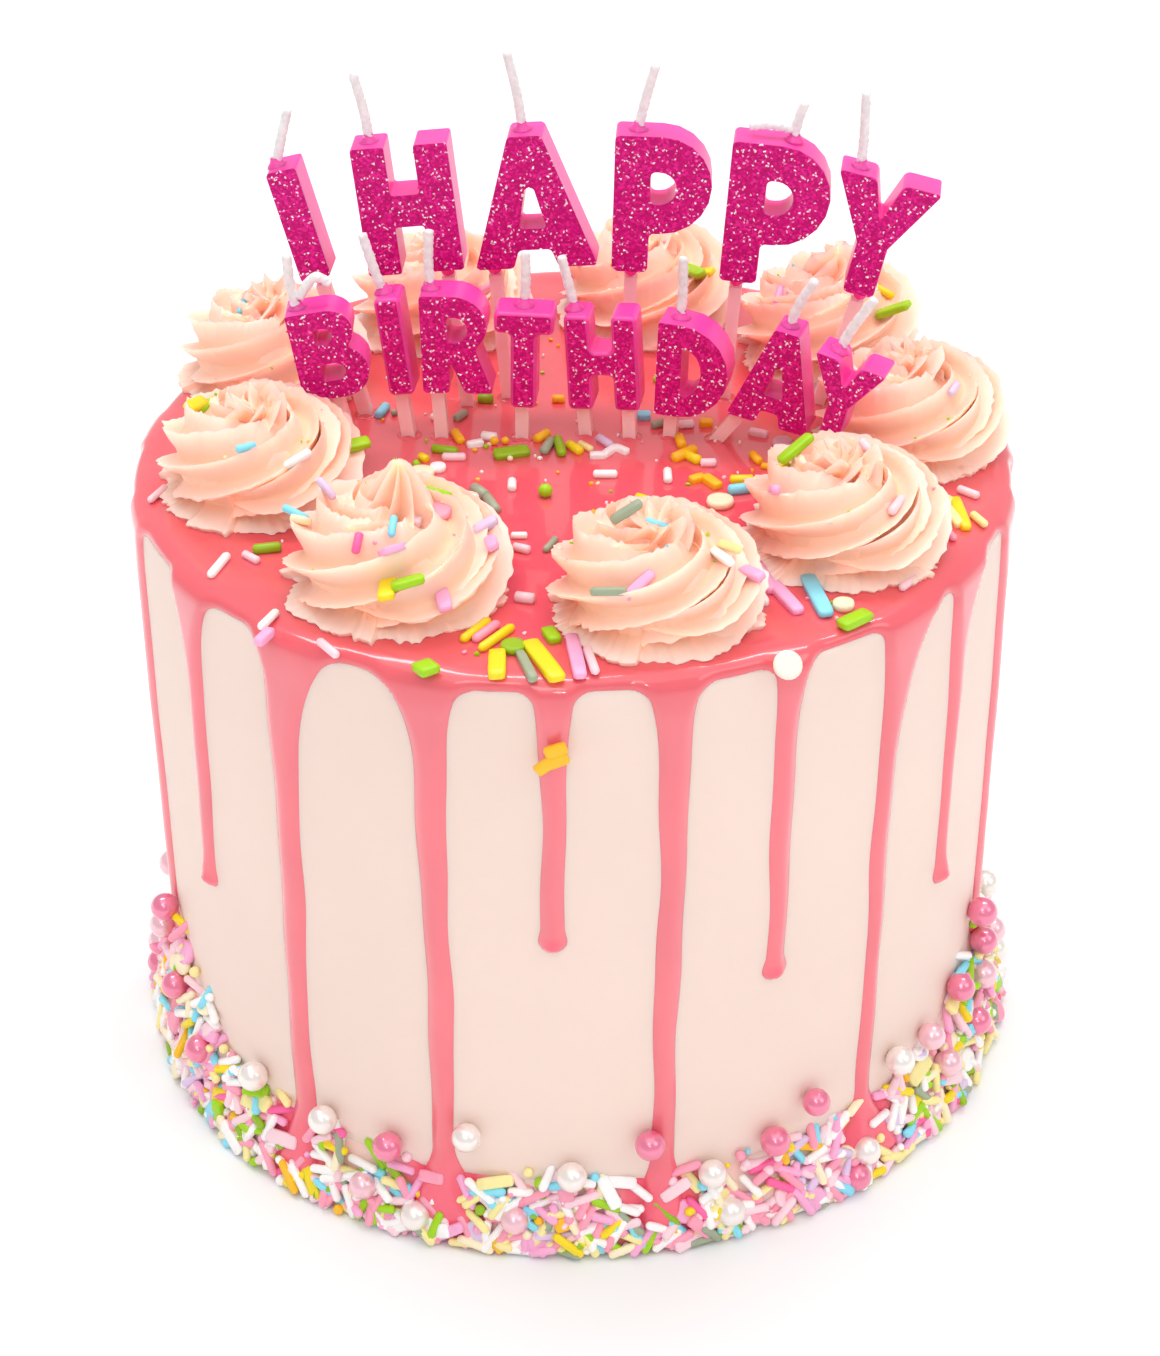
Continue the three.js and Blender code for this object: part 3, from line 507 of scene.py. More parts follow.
def glitter_material(colours):
    """The coat that the flakes lie in: small cells of darker and brighter magenta."""
    material, tree, shader, place = new_material("Glitter coat", Roughness=0.5, Specular_IOR_Level=0.25)
    cells = node(tree, "ShaderNodeTexVoronoi", {"Vector": place, "Scale": 2300.0}).outputs["Color"]
    ground = tuple(colours.glitter)
    chance = node(tree, "ShaderNodeSeparateColor", {0: cells}).outputs[0]
    ramp = node(tree, "ShaderNodeValToRGB", {0: chance})
    ramp.color_ramp.elements[0].color = tone(ground, 0.72)
    ramp.color_ramp.elements[1].color = linear("#F42CA0")
    ramp.color_ramp.elements.new(0.6).color = ground
    tree.links.new(ramp.outputs[0], shader.inputs["Base Color"])
    bump = node(tree, "ShaderNodeBump", {"Height": cells, "Strength": 0.8, "Distance": 0.0002})
    tree.links.new(bump.outputs[0], shader.inputs["Normal"])
    return material


def flake_material():
    material, tree, shader, _ = new_material("Glitter flakes", Metallic=0.1, Roughness=0.3)
    tree.links.new(attribute(tree, "tint", "Color"), shader.inputs["Base Color"])
    return material


def pick_material(colours):
    material, tree, shader, place = new_material(
        "Pick plastic", Roughness=0.25, Subsurface_Weight=0.6, Subsurface_Radius=(1.0, 0.6, 0.6),
        Subsurface_Scale=0.003)
    colour = tuple(colours.pick)
    tree.links.new(add_mottle(tree, place, 150.0, colour, tone(colour, 1.1)), shader.inputs["Base Color"])
    add_relief(tree, shader, place, coarse=300.0, fine=1200.0, share=0.3, strength=0.1, depth=0.0002)
    return material


def wick_material():
    material, tree, shader, place = new_material(
        "Wick cotton", Roughness=0.75, Subsurface_Weight=0.3, Subsurface_Radius=(1.0, 0.9, 0.9),
        Subsurface_Scale=0.001)
    white = linear("#F6F1F2")
    tree.links.new(add_mottle(tree, place, 900.0, white, tone(white, 0.86)), shader.inputs["Base Color"])
    add_relief(tree, shader, place, coarse=1800.0, fine=5000.0, share=0.5, strength=0.5, depth=0.0002)
    return material


def sugar_material(name, roughness, coat=0.0, coat_ior=1.5, metallic=0.0):
    """Sugar in the colour that each sprinkle carries."""
    material, tree, shader, place = new_material(
        name, Roughness=roughness, Subsurface_Weight=0.25, Subsurface_Radius=(1.0, 0.8, 0.8),
        Subsurface_Scale=0.001, Coat_Weight=coat, Coat_Roughness=0.05, Coat_IOR=coat_ior, Metallic=metallic)
    tree.links.new(attribute(tree, "tint", "Color"), shader.inputs["Base Color"])
    add_relief(tree, shader, place, coarse=700.0, fine=2400.0, share=0.4, strength=0.15, depth=0.0002)
    return material


MADE = {}


def shared_material(make, *args, **finish):
    """One material for each maker and name, made once."""
    key = make.__name__ + "".join(a for a in args if isinstance(a, str))
    if key not in MADE:
        MADE[key] = make(*args, **finish)
    return MADE[key]


# The frosted cake and its glaze.

def side_wave(azimuth, height):
    """Slight unevenness that the scraper left in the side."""
    return (0.09 * np.sin(3 * azimuth + 0.031 * height) + 0.06 * np.sin(7 * azimuth - 0.05 * height + 1.3)
            + 0.04 * np.sin(0.17 * height + 2 * azimuth))


def frosted_body(colours):
    """The whole cake under its glaze, closed, with a softly uneven side."""
    columns = 240
    foot_edge = 0.8
    hub = 40
    side = [(CAKE_RADIUS, z) for z in np.linspace(foot_edge, CAKE_TOP - CAKE_EDGE, 60)]
    corner = [(CAKE_RADIUS - CAKE_EDGE * (1 - math.cos(a)), CAKE_TOP - CAKE_EDGE * (1 - math.sin(a)))
              for a in np.linspace(0.2, math.pi / 2, 7)]
    profile = [(hub, 0), (CAKE_RADIUS - foot_edge, 0)] + side + corner + [(hub, CAKE_TOP)]
    points = turned_points(profile, columns)
    azimuth = np.arctan2(points[:, 1], points[:, 0])
    uneven = smoothstep(np.hypot(points[:, 0], points[:, 1]), 70, 78)
    points[:, :2] *= (1 + uneven * side_wave(azimuth, points[:, 2]) / CAKE_RADIUS)[:, None]
    points, faces = capped(points, len(profile), columns, (0, 0, 0), (0, 0, CAKE_TOP))
    return piece("side_frosting", points, faces, shared_material(frosting_material, colours), "frosting",
                 replaces=["frosted_cake"])


def cake_surface(azimuth, along, lift):
    """Points on the cake at an azimuth and a way up the side, round its edge and in over the top,
    lifted off the surface."""
    top = CAKE_TOP - GLAZE_SUNK
    turn = np.clip((along - (top - CAKE_EDGE)) / CAKE_EDGE, 0, math.pi / 2)
    inwards = np.maximum(along - (top - CAKE_EDGE) - CORNER_LENGTH, 0)
    radius = FLAT_RADIUS - GLAZE_SUNK + (CAKE_EDGE + lift) * np.cos(turn) - inwards
    radius += side_wave(azimuth, along) * (inwards == 0)
    height = np.minimum(along, top - CAKE_EDGE) + (CAKE_EDGE + lift) * np.sin(turn)
    return np.stack([radius * np.cos(azimuth), radius * np.sin(azimuth), height], -1)


def drip_field(drip, azimuth, along, bulb, index):
    """Distance in from one drip's outline, by azimuth and height. The drip wanders a little, narrows on its
    way down and ends in a bulb, or widens into a pool where it runs out at the foot."""
    share = (DRIP_TOP - along) / (DRIP_TOP - max(drip.end, POOL_FOOT))
    across = arc_from(azimuth, drip.start + (drip.finish - drip.start) * share)
    across = across + 0.22 * np.sin(along / 9 + 1.7 * index) + 0.12 * np.sin(along / 3.7 + 2.9 * index)
    widest = np.where(across < 0, drip.flare_left, drip.flare_right)
    length = FUNNEL_LENGTH + FUNNEL_LONGER * widest
    flare = widest * np.exp(np.minimum(along - DRIP_TOP, 4) / length)
    uneven = 1 + 0.06 * np.sin(along / 6.5 + 2.3 * index)
    half = drip.half_width * uneven * (1.12 - 0.18 * smoothstep(share, 0, 0.8)) + flare
    slope = flare / length
    across = np.abs(across)
    if drip.end == 0:
        pool = 5.6 + 1.8 * math.sin(2.1 * index)
        half = half + pool * (1 - smoothstep(along, 3, 19))
        stem = (half - across) / np.sqrt(1 + slope * slope)
        return np.minimum(stem, along - 1.1)
    centre = drip.end + bulb
    stem = np.minimum((half - across) / np.sqrt(1 + slope * slope), along - centre + 0.1)
    return smooth_max(stem, bulb - np.hypot(across, along - centre), 1.2)


def glaze_shell(colours, sizes):
    """The poured glaze as one closed shell: its outline is where a field over the cake's surface is zero."""
    columns = 720
    bulb = sizes.bulb_radius / MM
    corner_start = CAKE_TOP - GLAZE_SUNK - CAKE_EDGE
    centre_along = corner_start + CORNER_LENGTH + FLAT_RADIUS - GLAZE_SUNK
    flat_rows = centre_along - np.concatenate([[2.0], np.arange(8, 70, 5.0), np.arange(71, 77.5, 1.6)])
    edge_rows = np.linspace(corner_start + CORNER_LENGTH + 0.6, corner_start, 9)
    side_rows = np.arange(corner_start - 0.8, 1.0, -0.8)
    along_rows = np.concatenate([flat_rows, edge_rows, side_rows])
    azimuth, along = np.meshgrid(np.arange(columns) * TAU / columns, along_rows)
    field = along - (RIM_HEIGHT + 0.25 * np.sin(5 * azimuth + 1) + 0.2 * np.sin(11 * azimuth))
    swell = np.zeros_like(along)
    for index, drip in enumerate(DRIPS):
        field = smooth_max(field, drip_field(drip, azimuth, along, bulb, index), 3.0)
        if drip.end:
            away = np.hypot(arc_from(azimuth, drip.finish), along - drip.end - bulb)
            swell = np.maximum(swell, np.exp(-(away / (1.2 * bulb)) ** 2))
    lift = glaze_lift(azimuth, along, field, swell, centre_along, sizes)
    made = outlined_shell(azimuth, along, lift, field, columns, shared_material(glaze_material, colours))
    mark_gathered(made.data, bulb)


def glaze_lift(azimuth, along, field, swell, centre_along, sizes):
    """How far the glaze stands out of the cake: evenly thick on the top, rounded towards its outline, thin in
    the drips, fuller in their ends and where they run out, and slightly uneven on the rim and the top."""
    rim_depth, end_depth, pool_depth = 1.25, 0.9, 3.4
    down = DRIP_TOP - along
    top_depth = GLAZE_TOP - (CAKE_TOP - GLAZE_SUNK)
    deep = rim_depth + (top_depth - rim_depth) * smoothstep(along, 117, 120.5)
    deep = deep + (sizes.drip_depth / MM - rim_depth) * smoothstep(down, 3, 14) + end_depth * swell
    deep = deep + pool_depth * (1 - smoothstep(along, 3, 17))
    rounding = 1.4 + 1.3 * smoothstep(down, 1, 12) + 1.5 * (1 - smoothstep(along, 4, 20))
    fullness = 0.95 - 0.25 * smoothstep(along, 110, 117)
    lift = deep * (1 - (1 - np.clip(field / rounding, 0, 1)) ** 2) ** fullness
    rim = smoothstep(along, 117.5, 119.5) * (1 - smoothstep(along, 122, 125))
    lift += rim * (0.16 * np.sin(9 * azimuth + 0.6) + 0.11 * np.sin(23 * azimuth + 2))
    x, y = (centre_along - along) * np.cos(azimuth), (centre_along - along) * np.sin(azimuth)
    ripples = 0.05 * np.sin(x / 5.1 + 0.8 * np.sin(y / 7)) + 0.05 * np.sin(y / 4.3 + x / 9)
    return lift + smoothstep(along, 121, 126) * ripples


def mark_gathered(mesh, bulb):
    """Marks for the material where the glaze has gathered: in the drips' ends and where they run out."""
    spots = np.empty(len(mesh.vertices) * 3, np.float32)
    mesh.vertices.foreach_get("co", spots)
    x, y, z = spots.reshape(-1, 3).T / MM
    azimuth = np.arctan2(y, x)
    gathered = 1 - smoothstep(z, 6, 26)
    for drip in DRIPS:
        if drip.end:
            away = np.hypot(arc_from(azimuth, drip.finish), z - drip.end - 0.8 * bulb)
            gathered = np.maximum(gathered, 1 - smoothstep(away, 0.4 * bulb, 1.1 * bulb))
    mark_points(mesh, "gathered", gathered)


def outlined_shell(azimuth, along, lift, field, columns, material):
    """Meshes a wrapped grid where its field is positive, gives it a back and closes its rim."""
    inside = field > 0
    number = np.full(field.shape, -1)
    number[inside] = np.arange(inside.sum())
    spots = [azimuth[inside].tolist(), along[inside].tolist(), lift[inside].tolist()]
    full = inside[:-1] & inside[1:]
    full = full & np.roll(full, -1, 1)
    i, j = np.nonzero(full)
    k = (j + 1) % columns
    faces = np.stack([number[i, j], number[i + 1, j], number[i + 1, k], number[i, k]], -1).tolist()
    crossings = {}

    def crossing(one, other):
        """The new point where the outline cuts the grid line from an inner point to an outer one."""
        if (one, other) not in crossings:
            share = field[one] / (field[one] - field[other])
            step = (other[1] - one[1] + columns // 2) % columns - columns // 2
            crossings[one, other] = len(spots[0])
            spots[0].append(azimuth[one] + share * step * TAU / columns)
            spots[1].append(along[one] + share * (along[other] - along[one]))
            spots[2].append(0.0)
        return crossings[one, other]

    mixed = inside[:-1] | inside[1:]
    mixed = (mixed | np.roll(mixed, -1, 1)) & ~full
    for i, j in zip(*np.nonzero(mixed)):
        k = (j + 1) % columns
        corners = [(i, j), (i + 1, j), (i + 1, k), (i, k)]
        face = []
        for here, there in zip(corners, corners[1:] + corners[:1]):
            if inside[here]:
                face.append(int(number[here]))
            if inside[here] != inside[there]:
                face.append(crossing(here, there) if inside[here] else crossing(there, here))
        if len(face) > 2:
            faces.append(face)
    angle, way, raised = (np.array(values) for values in spots)
    middle = len(angle)
    faces += [[middle, int(number[0, j]), int(number[0, (j + 1) % columns])] for j in range(columns)]
    deep = 2.2
    front = np.vstack([cake_surface(angle, way, raised), (0, 0, GLAZE_TOP)])
    back = np.vstack([cake_surface(angle, way, np.full(middle, -GLAZE_ROOT)), (0, 0, GLAZE_TOP - deep)])
    points, shell = closed_sheet(front, back, faces)
    made = piece("poured_glaze", points, shell, material, "glaze", replaces=["drip_glaze"])
    made.data.set_sharp_from_angle(angle=math.radians(60))
    return made


def closed_sheet(front, back, faces):
    """A closed body between an open sheet and the same sheet moved back."""
    count = len(front)
    used = set()
    for face in faces:
        used.update(zip(face, face[1:] + face[:1]))
    rim = [(a, b) for a, b in used if (b, a) not in used]
    behind = [[count + index for index in reversed(face)] for face in faces]
    walls = [[b, a, count + a, count + b] for a, b in rim]
    return np.vstack([front, back]), faces + behind + walls


# Rosettes.

SKIRT_LOBES = 4
# Where the points of a section lie, from the crest of one ridge to the next.
CREST_PLACES = np.array([0, 0.04, 0.12, 0.27, 0.5, 0.73, 0.88, 0.96])
# The waves of a torn edge: steps from one to the next, and their height as a share of the rope's thickness.
TEARS = ((14, 0.06), (5, 0.05), (1.6, 0.05))
# The filling inside the coils: shares of a rosette's radius and height.
FILLING = ((0.75, 0.28), (0.68, 0.42), (0.48, 0.54), (0.25, 0.62))


def star_section(blades, sharpness):
    """Angles round a piping tip's star, how much of a ridge each has, and the ridge it belongs to."""
    phase = ((np.arange(blades)[:, None] + CREST_PLACES) / blades * TAU).ravel()
    crest = (1 - np.abs(np.sin(blades * phase / 2))) ** sharpness
    return phase, crest, np.repeat(np.arange(blades), len(CREST_PLACES))


def rope_points(radius, height, start, turns, blades, twist, rng):
    """A rope of star section, coiled inwards and upwards. Returns points, faces and how deep between the
    ridges each point lies, which is how much painted shade its colour gets."""
    steps = int(200 * turns)
    share = np.linspace(0, 1, steps)
    angle = (math.radians(start) + TAU * turns * share)[:, None]
    inner = smoothstep(share, 0.42, 1.0)
    reach = radius * (0.57 - 0.08 * smoothstep(share, 0.0, 0.45) - 0.29 * inner)
    rise = height * (0.25 + 0.10 * smoothstep(share, 0.05, 0.5) + 0.20 * inner)
    thick = radius * (0.45 - 0.03 * share - 0.15 * smoothstep(share, 0.45, 0.97))
    thick = thick * (0.35 + 0.65 * smoothstep(share, 0, 0.07))
    thick = thick * np.sqrt(1 - smoothstep(share, 0.90, 1.0) * 0.985)
    phase, crest, ridge = star_section(blades, 1.6)
    ragged = ragged_edges(steps, blades, rng)[:, ridge]
    depth = 0.44 + 0.07 * rng.random(blades)[ridge]
    profile = (1 - depth) + depth * crest * (1 + ragged)
    slant = phase + 0.22 * crest + twist * turns * share[:, None]
    size = thick[:, None] * profile
    out = reach[:, None] + size * np.cos(slant)
    up = rise[:, None] + size * np.sin(slant) * 0.92
    pressed = np.maximum(0.8 - up, 0)
    out = out + 0.30 * pressed * np.sign(np.cos(slant))
    up = np.maximum(up, 0.05 + 0.02 * pressed)
    points = np.stack([out * np.cos(angle), out * np.sin(angle), up], -1)
    low, high = points[0].mean(0), points[-1].mean(0) + (0, 0, 0.6)
    points, faces = capped(points, steps, len(phase), low, high)
    # Painted shade: none on the crests, most at the bottom of the valleys, and some on the rope's ends.
    valley_shade = np.concatenate([np.tile(1 - crest ** 0.6, steps), [0.5, 0.2]])
    return points, [face[::-1] for face in faces], valley_shade


def crown_points(radius, low, high, dip, blades, twist, rng):
    """The middle of a rosette, where the piping tip was pulled away: ridges that climb to upright tips
    round a hollow, or with a negative dip to one peak."""
    walls, lids = 18, 10
    rows = walls + lids
    phase, crest, ridge = star_section(blades, 1.25)
    climb = np.concatenate([np.linspace(0, 1, walls), np.ones(lids)])[:, None]
    inwards = np.concatenate([np.zeros(walls), np.linspace(0.12, 0.98, lids)])[:, None]
    ragged = ragged_edges(rows, blades, rng)[:, ridge]
    tips = 1 - (0.10 + 0.08 * rng.random(blades)[ridge]) * (1 - crest) - 0.16 * rng.random(blades)[ridge]
    reach = radius * (1 - 0.30 * climb ** 1.5) * (0.46 + 0.54 * crest * (1 + ragged)) * (1 - inwards)
    angle = phase + twist * (climb + 0.4 * inwards)
    lean = 0.12 * radius * climb
    up = low + (high - low) * climb * tips - dip * np.sin(inwards * math.pi / 2)
    points = np.stack([reach * np.cos(angle) + lean, reach * np.sin(angle) + lean * rng.normal(), up], -1)
    points, faces = capped(points, rows, len(phase), points[0].mean(0), points[-1].mean(0))
    # The last values are painted shade: darkest at the bottom of the valleys between the ridges.
    return points, faces, np.concatenate([np.tile(1 - crest ** 0.6, rows), [0.5, 0.5]])


def skirt_points(radius, height, rng):
    """The first ruffle of a rosette, which lies flat on the glaze with a torn edge, and the filling that
    the coils lie round."""
    columns = 300
    angle = np.arange(columns) * TAU / columns
    lobe = (SKIRT_LOBES * angle / TAU + rng.random()) % 1
    edge = radius * (0.87 + 0.085 * lobe ** 0.7) * (1 + 0.42 * ragged_edges(columns, 1, rng)[:, 0])
    lifted = 0.2 + 0.7 * lobe ** 1.5
    ruffle = ((0.6 * radius, 0), (edge - 0.4, 0), (edge, lifted), (edge - 0.5, lifted + 0.25),
              (0.84 * edge, 0.9 + 0.7 * lobe), (0.72 * edge, 2.2 + 0.5 * lobe))
    filling = tuple((share * radius, rise * height) for share, rise in FILLING)
    rows = ruffle + filling
    points = np.stack([np.stack(np.broadcast_arrays(reach * np.cos(angle), reach * np.sin(angle), up), -1)
                       for reach, up in rows])
    points, faces = capped(points, len(rows), columns, (0, 0, 0), (0, 0, 0.65 * height))
    # Painted shade by row: a little at the ruffle's foot, none on its edge, more up its inner slope, most on
    # the filling between the coils.
    valley_shade = [0.2, 0.2, 0.0, 0.0, 0.4, 0.8] + [0.8] * len(filling)
    return points, faces, np.concatenate([np.repeat(valley_shade, columns), [0.2, 0.8]])


def ragged_edges(steps, blades, rng):
    """Uneven reach of each ridge along the rope: slow waves, short tears and fine teeth."""
    along = np.linspace(0, 1, steps)
    made = np.zeros((steps, blades))
    for spacing, amount in TEARS:
        waves = rng.normal(size=(int(steps / spacing) + 3, blades))
        for b in range(blades):
            made[:, b] += amount * np.interp(along, np.linspace(0, 1, len(waves)), waves[:, b])
    return np.clip(made, -0.25, 0.22)


def all_rosettes(colours, sizes):
    """Pipes each rosette: the coiled rope, the crown in its middle and the ruffle and filling below, as high
    as the rosette is in all."""
    material = shared_material(rosette_material, colours)
    for index, rosette in enumerate(ROSETTES):
        rng = np.random.default_rng(40 + index)
        radius, height = rosette.radius, rosette.height
        peak = min(rosette.dip, 0)
        body = height * (1 + 0.6 * peak)
        rope = rope_points(radius, body, rosette.start, rosette.turns, sizes.blades, sizes.twist, rng)
        crown = crown_points((0.38 - 0.3 * peak) * radius, 0.3 * body, (0.9 + peak) * height,
                             rosette.dip * height, sizes.blades, math.radians(110), rng)
        skirt = skirt_points(radius, body, rng)
        points, faces = merge_parts([part[:2] for part in (rope, crown, skirt)])
        points[:, 2] *= height / points[:, 2].max()
        points += (rosette.x, rosette.y, GLAZE_TOP - 0.05)
        made = piece(rosette.name + "_piping", points, faces, material, "rosette", replaces=[rosette.name])
        made.data.set_sharp_from_angle(angle=math.radians(52))
        # How much painted shade each point's colour gets, from the rope, the crown and the ruffle.
        mark_points(made.data, "valley_shade", np.concatenate([part[2] for part in (rope, crown, skirt)]))


# Candles. The corners of a letter's outline and its edges are rounded by these radii.

LETTER_CORNER = 1.0
LETTER_EDGE = 0.6


def candle_matrix(candle):
    """From the letter's own plane (x across, y up, z towards its front, millimetres) to the cake's frame."""
    return (Matrix.Translation(candle.foot) @ Matrix.Rotation(-math.radians(candle.turn), 4, "Z")
            @ Matrix.Rotation(math.pi / 2, 4, "X") @ Matrix.Rotation(-math.radians(candle.lean), 4, "Z"))


def letter_front(candle):
    """The direction that a letter's front faces."""
    return (candle_matrix(candle).to_3x3() @ Vector((0, 0, 1))).normalized()


def letter_mesh(name, front):
    """The solid letter with shared corners and whole faces, its outline's corners rounded, in metres."""
    source = frame["nodes"]["candle_" + name]
    made = bmesh.new()
    made.from_mesh(source.data)
    made.transform(source.matrix_world)
    bmesh.ops.remove_doubles(made, verts=made.verts, dist=1e-5)
    bmesh.ops.dissolve_limit(made, angle_limit=math.radians(1.5), verts=made.verts, edges=made.edges)
    made.normal_update()
    upright = [edge for edge in made.edges if edge.is_manifold and edge.calc_face_angle(0) > math.radians(35)
               and abs((edge.verts[0].co - edge.verts[1].co).normalized().dot(front)) > 0.99]
    bmesh.ops.bevel(made, geom=upright, offset=LETTER_CORNER * MM, offset_type="OFFSET", segments=4,
                    profile=0.5, affect="EDGES", clamp_overlap=True)
    return made


def wax_letters(colours):
    """The letters in wax, with soft edges and flat faces."""
    material = shared_material(wax_material, colours)
    for candle in CANDLES:
        source = letter_mesh(candle.name, letter_front(candle))
        mesh = bpy.data.meshes.new(candle.name)
        source.to_mesh(mesh)
        source.free()
        mesh.shade_smooth()
        made = placed("letter_" + candle.name, mesh, material, "wax", ["candle_" + candle.name])
        bevel = made.modifiers.new("Rounded edges", "BEVEL")
        bevel.width = LETTER_EDGE * MM
        bevel.segments = 3
        bevel.limit_method = "ANGLE"
        bevel.angle_limit = math.radians(35)
        weighted = made.modifiers.new("Flat faces", "WEIGHTED_NORMAL")
        weighted.weight = 80
        made.data = evaluated_mesh(made)


def front_sheets(lift, thickness):
    """The flat fronts of all finished letters, lifted off the wax, in millimetres: as bare sheets and as
    thin closed plates."""
    bare, plates = [], []
    for candle in CANDLES:
        front = np.array(letter_front(candle))
        mesh = bpy.data.objects["letter_" + candle.name].data
        flat = [list(face.vertices) for face in mesh.polygons if np.dot(face.normal, front) > 0.9995]
        kept = sorted({index for face in flat for index in face})
        number = {index: place for place, index in enumerate(kept)}
        faces = [[number[index] for index in face] for face in flat]
        points = np.array([mesh.vertices[index].co for index in kept]) / MM + front * lift
        bare.append((points, faces))
        plates.append(closed_sheet(points, points - front * thickness, faces))
    return merge_parts(bare), merge_parts(plates)


def glitter_tree():
    """Scatters small tilted flakes over faces and colours each by chance."""
    tree, given, result = new_group("Glitter flakes", "GeometryNodeTree", (
        ("Geometry", "NodeSocketGeometry", None), ("Flake size", "NodeSocketFloat", 0.0004),
        ("Density", "NodeSocketFloat", 5e6), ("Tilt", "NodeSocketFloat", 0.6), ("Seed", "NodeSocketInt", 7),
        ("Material", "NodeSocketMaterial", None)), (("Geometry", "NodeSocketGeometry"),))
    spots = node(tree, "GeometryNodeDistributePointsOnFaces",
                 {"Mesh": given["Geometry"], "Density": given["Density"], "Seed": given["Seed"]})
    depth = computed(tree, "MULTIPLY", given["Flake size"], 0.12)
    flake = node(tree, "GeometryNodeMeshCylinder",
                 {"Vertices": 4, "Radius": given["Flake size"], "Depth": depth})
    low = computed(tree, "MULTIPLY", given["Tilt"], -1.0)
    tip = node(tree, "FunctionNodeRandomValue", {"Seed": 3}, data_type="FLOAT_VECTOR")
    half_turn = 3.14
    lows = node(tree, "ShaderNodeCombineXYZ", {"X": low, "Y": low, "Z": -half_turn})
    highs = node(tree, "ShaderNodeCombineXYZ", {"X": given["Tilt"], "Y": given["Tilt"], "Z": half_turn})
    tree.links.new(lows.outputs[0], tip.inputs["Min"])
    tree.links.new(highs.outputs[0], tip.inputs["Max"])
    euler = node(tree, "FunctionNodeEulerToRotation", {0: tip.outputs["Value"]})
    turned = node(tree, "FunctionNodeRotateRotation",
                  {"Rotation": spots.outputs["Rotation"], "Rotate By": euler.outputs[0]},
                  rotation_space="LOCAL")
    size = node(tree, "FunctionNodeRandomValue", {"Seed": 5}, data_type="FLOAT_VECTOR")
    size.inputs["Min"].default_value = (0.35, 0.35, 1.0)
    size.inputs["Max"].default_value = (1.0, 0.75, 1.0)
    laid = node(tree, "GeometryNodeInstanceOnPoints",
                {"Points": spots.outputs["Points"], "Instance": flake.outputs["Mesh"],
                 "Rotation": turned.outputs[0], "Scale": size.outputs["Value"]})
    chance = node(tree, "FunctionNodeRandomValue", {"Seed": 11}, data_type="FLOAT")
    ramp = node(tree, "ShaderNodeValToRGB", {0: chance.outputs[1]})
    ramp.color_ramp.interpolation = "CONSTANT"
    ramp.color_ramp.elements.remove(ramp.color_ramp.elements[1])
    ramp.color_ramp.elements[0].color = linear("#E02C92")
    for position, colour in ((0.18, "#FF70C0"), (0.36, "#FFC4E8"), (0.50, "#FFFFFF")):
        ramp.color_ramp.elements.new(position).color = linear(colour)
    stored = node(tree, "GeometryNodeStoreNamedAttribute",
                  {"Geometry": laid.outputs[0], "Name": "tint", "Value": ramp.outputs[0]},
                  data_type="FLOAT_COLOR", domain="INSTANCE")
    real = node(tree, "GeometryNodeRealizeInstances", {"Geometry": stored.outputs[0]})
    coated = node(tree, "GeometryNodeSetMaterial",
                  {"Geometry": real.outputs[0], "Material": given["Material"]})
    tree.links.new(coated.outputs[0], result["Geometry"])
    return tree


def grown_by_nodes(name, source, tree, values, slot):
    """Runs a node tree over a source mesh and keeps the plain mesh that it makes as a piece."""
    carrier = bpy.data.objects.new(name + "_carrier", source)
    bpy.context.scene.collection.objects.link(carrier)
    modifier = carrier.modifiers.new(tree.name, "NODES")
    modifier.node_group = tree
    for item in tree.interface.items_tree:
        if item.item_type == "SOCKET" and item.in_out == "INPUT" and item.name in values:
            modifier[item.identifier] = values[item.name]
    mesh = evaluated_mesh(carrier)
    bpy.data.objects.remove(carrier)
    bpy.data.meshes.remove(source)
    return placed(name, mesh, values["Material"], slot)


def glitter_fronts(colours, sizes):
    (points, faces), plates = front_sheets(lift=0.12, thickness=0.3)
    piece("glitter_coat", *plates, shared_material(glitter_material, colours), "wax", smooth=False)
    fronts = bpy.data.meshes.new("fronts")
    fronts.from_pydata((points * MM).tolist(), [], faces)
    fronts.update()
    grown_by_nodes("glitter_flakes", fronts, glitter_tree(), {
        "Flake size": sizes.flake, "Density": sizes.flakes_per_mm2 / MM ** 2, "Tilt": 0.55, "Seed": 7,
        "Material": shared_material(flake_material)}, "wax")


def swept(route, radius, strands, pitch, fray, rng):
    """A twisted cord along a smooth route through a few points, in millimetres, with a frayed end."""
    sides, step = 24, 0.25
    route = np.asarray(route, float)
    curve = bspline(route, max(int(np.linalg.norm(np.diff(route, axis=0), axis=1).sum() / step), 8))
    tangent = np.gradient(curve, axis=0)
    tangent /= np.linalg.norm(tangent, axis=1, keepdims=True)
    side = np.cross(tangent[0], (0.1, 1.0, 0.2))
    length = np.concatenate([[0], np.cumsum(np.linalg.norm(np.diff(curve, axis=0), axis=1))])
    around = np.arange(sides) * TAU / sides
    rings = []
    for i, (here, ahead) in enumerate(zip(curve, tangent)):
        side = side - ahead * side.dot(ahead)
        side /= np.linalg.norm(side)
        other = np.cross(ahead, side)
        twist = TAU * length[i] / pitch
        lobes = 0.88 + 0.20 * np.abs(np.sin(strands * (around + twist) / 2))
        lobes = lobes * (1 + 0.07 * np.sin(2.7 * length[i] + 1.3 * math.sin(3 * length[i])))
        if i == len(curve) - 1:
            lobes = lobes * (0.55 + fray * rng.random(sides))
        rings.append(here + radius * lobes[:, None] * (np.cos(around)[:, None] * side
                                                       + np.sin(around)[:, None] * other))
    return capped(rings, len(curve), sides, curve[0], curve[-1] + tangent[-1] * 0.25)


def bspline(route, count):
    """A smooth curve through the route's ends, near its inner points."""
    points = np.vstack([2 * route[0] - route[1], route, 2 * route[-1] - route[-2]])
    spans = len(points) - 3
    made = []
    for t in np.linspace(0, spans, count):
        i = min(int(t), spans - 1)
        u = t - i
        a, b, c, d = points[i:i + 4]
        made.append(0.5 * (2 * b + (c - a) * u + (2 * a - 5 * b + 4 * c - d) * u ** 2
                           + (3 * b - a - 3 * c + d) * u ** 3))
    return np.array(made)


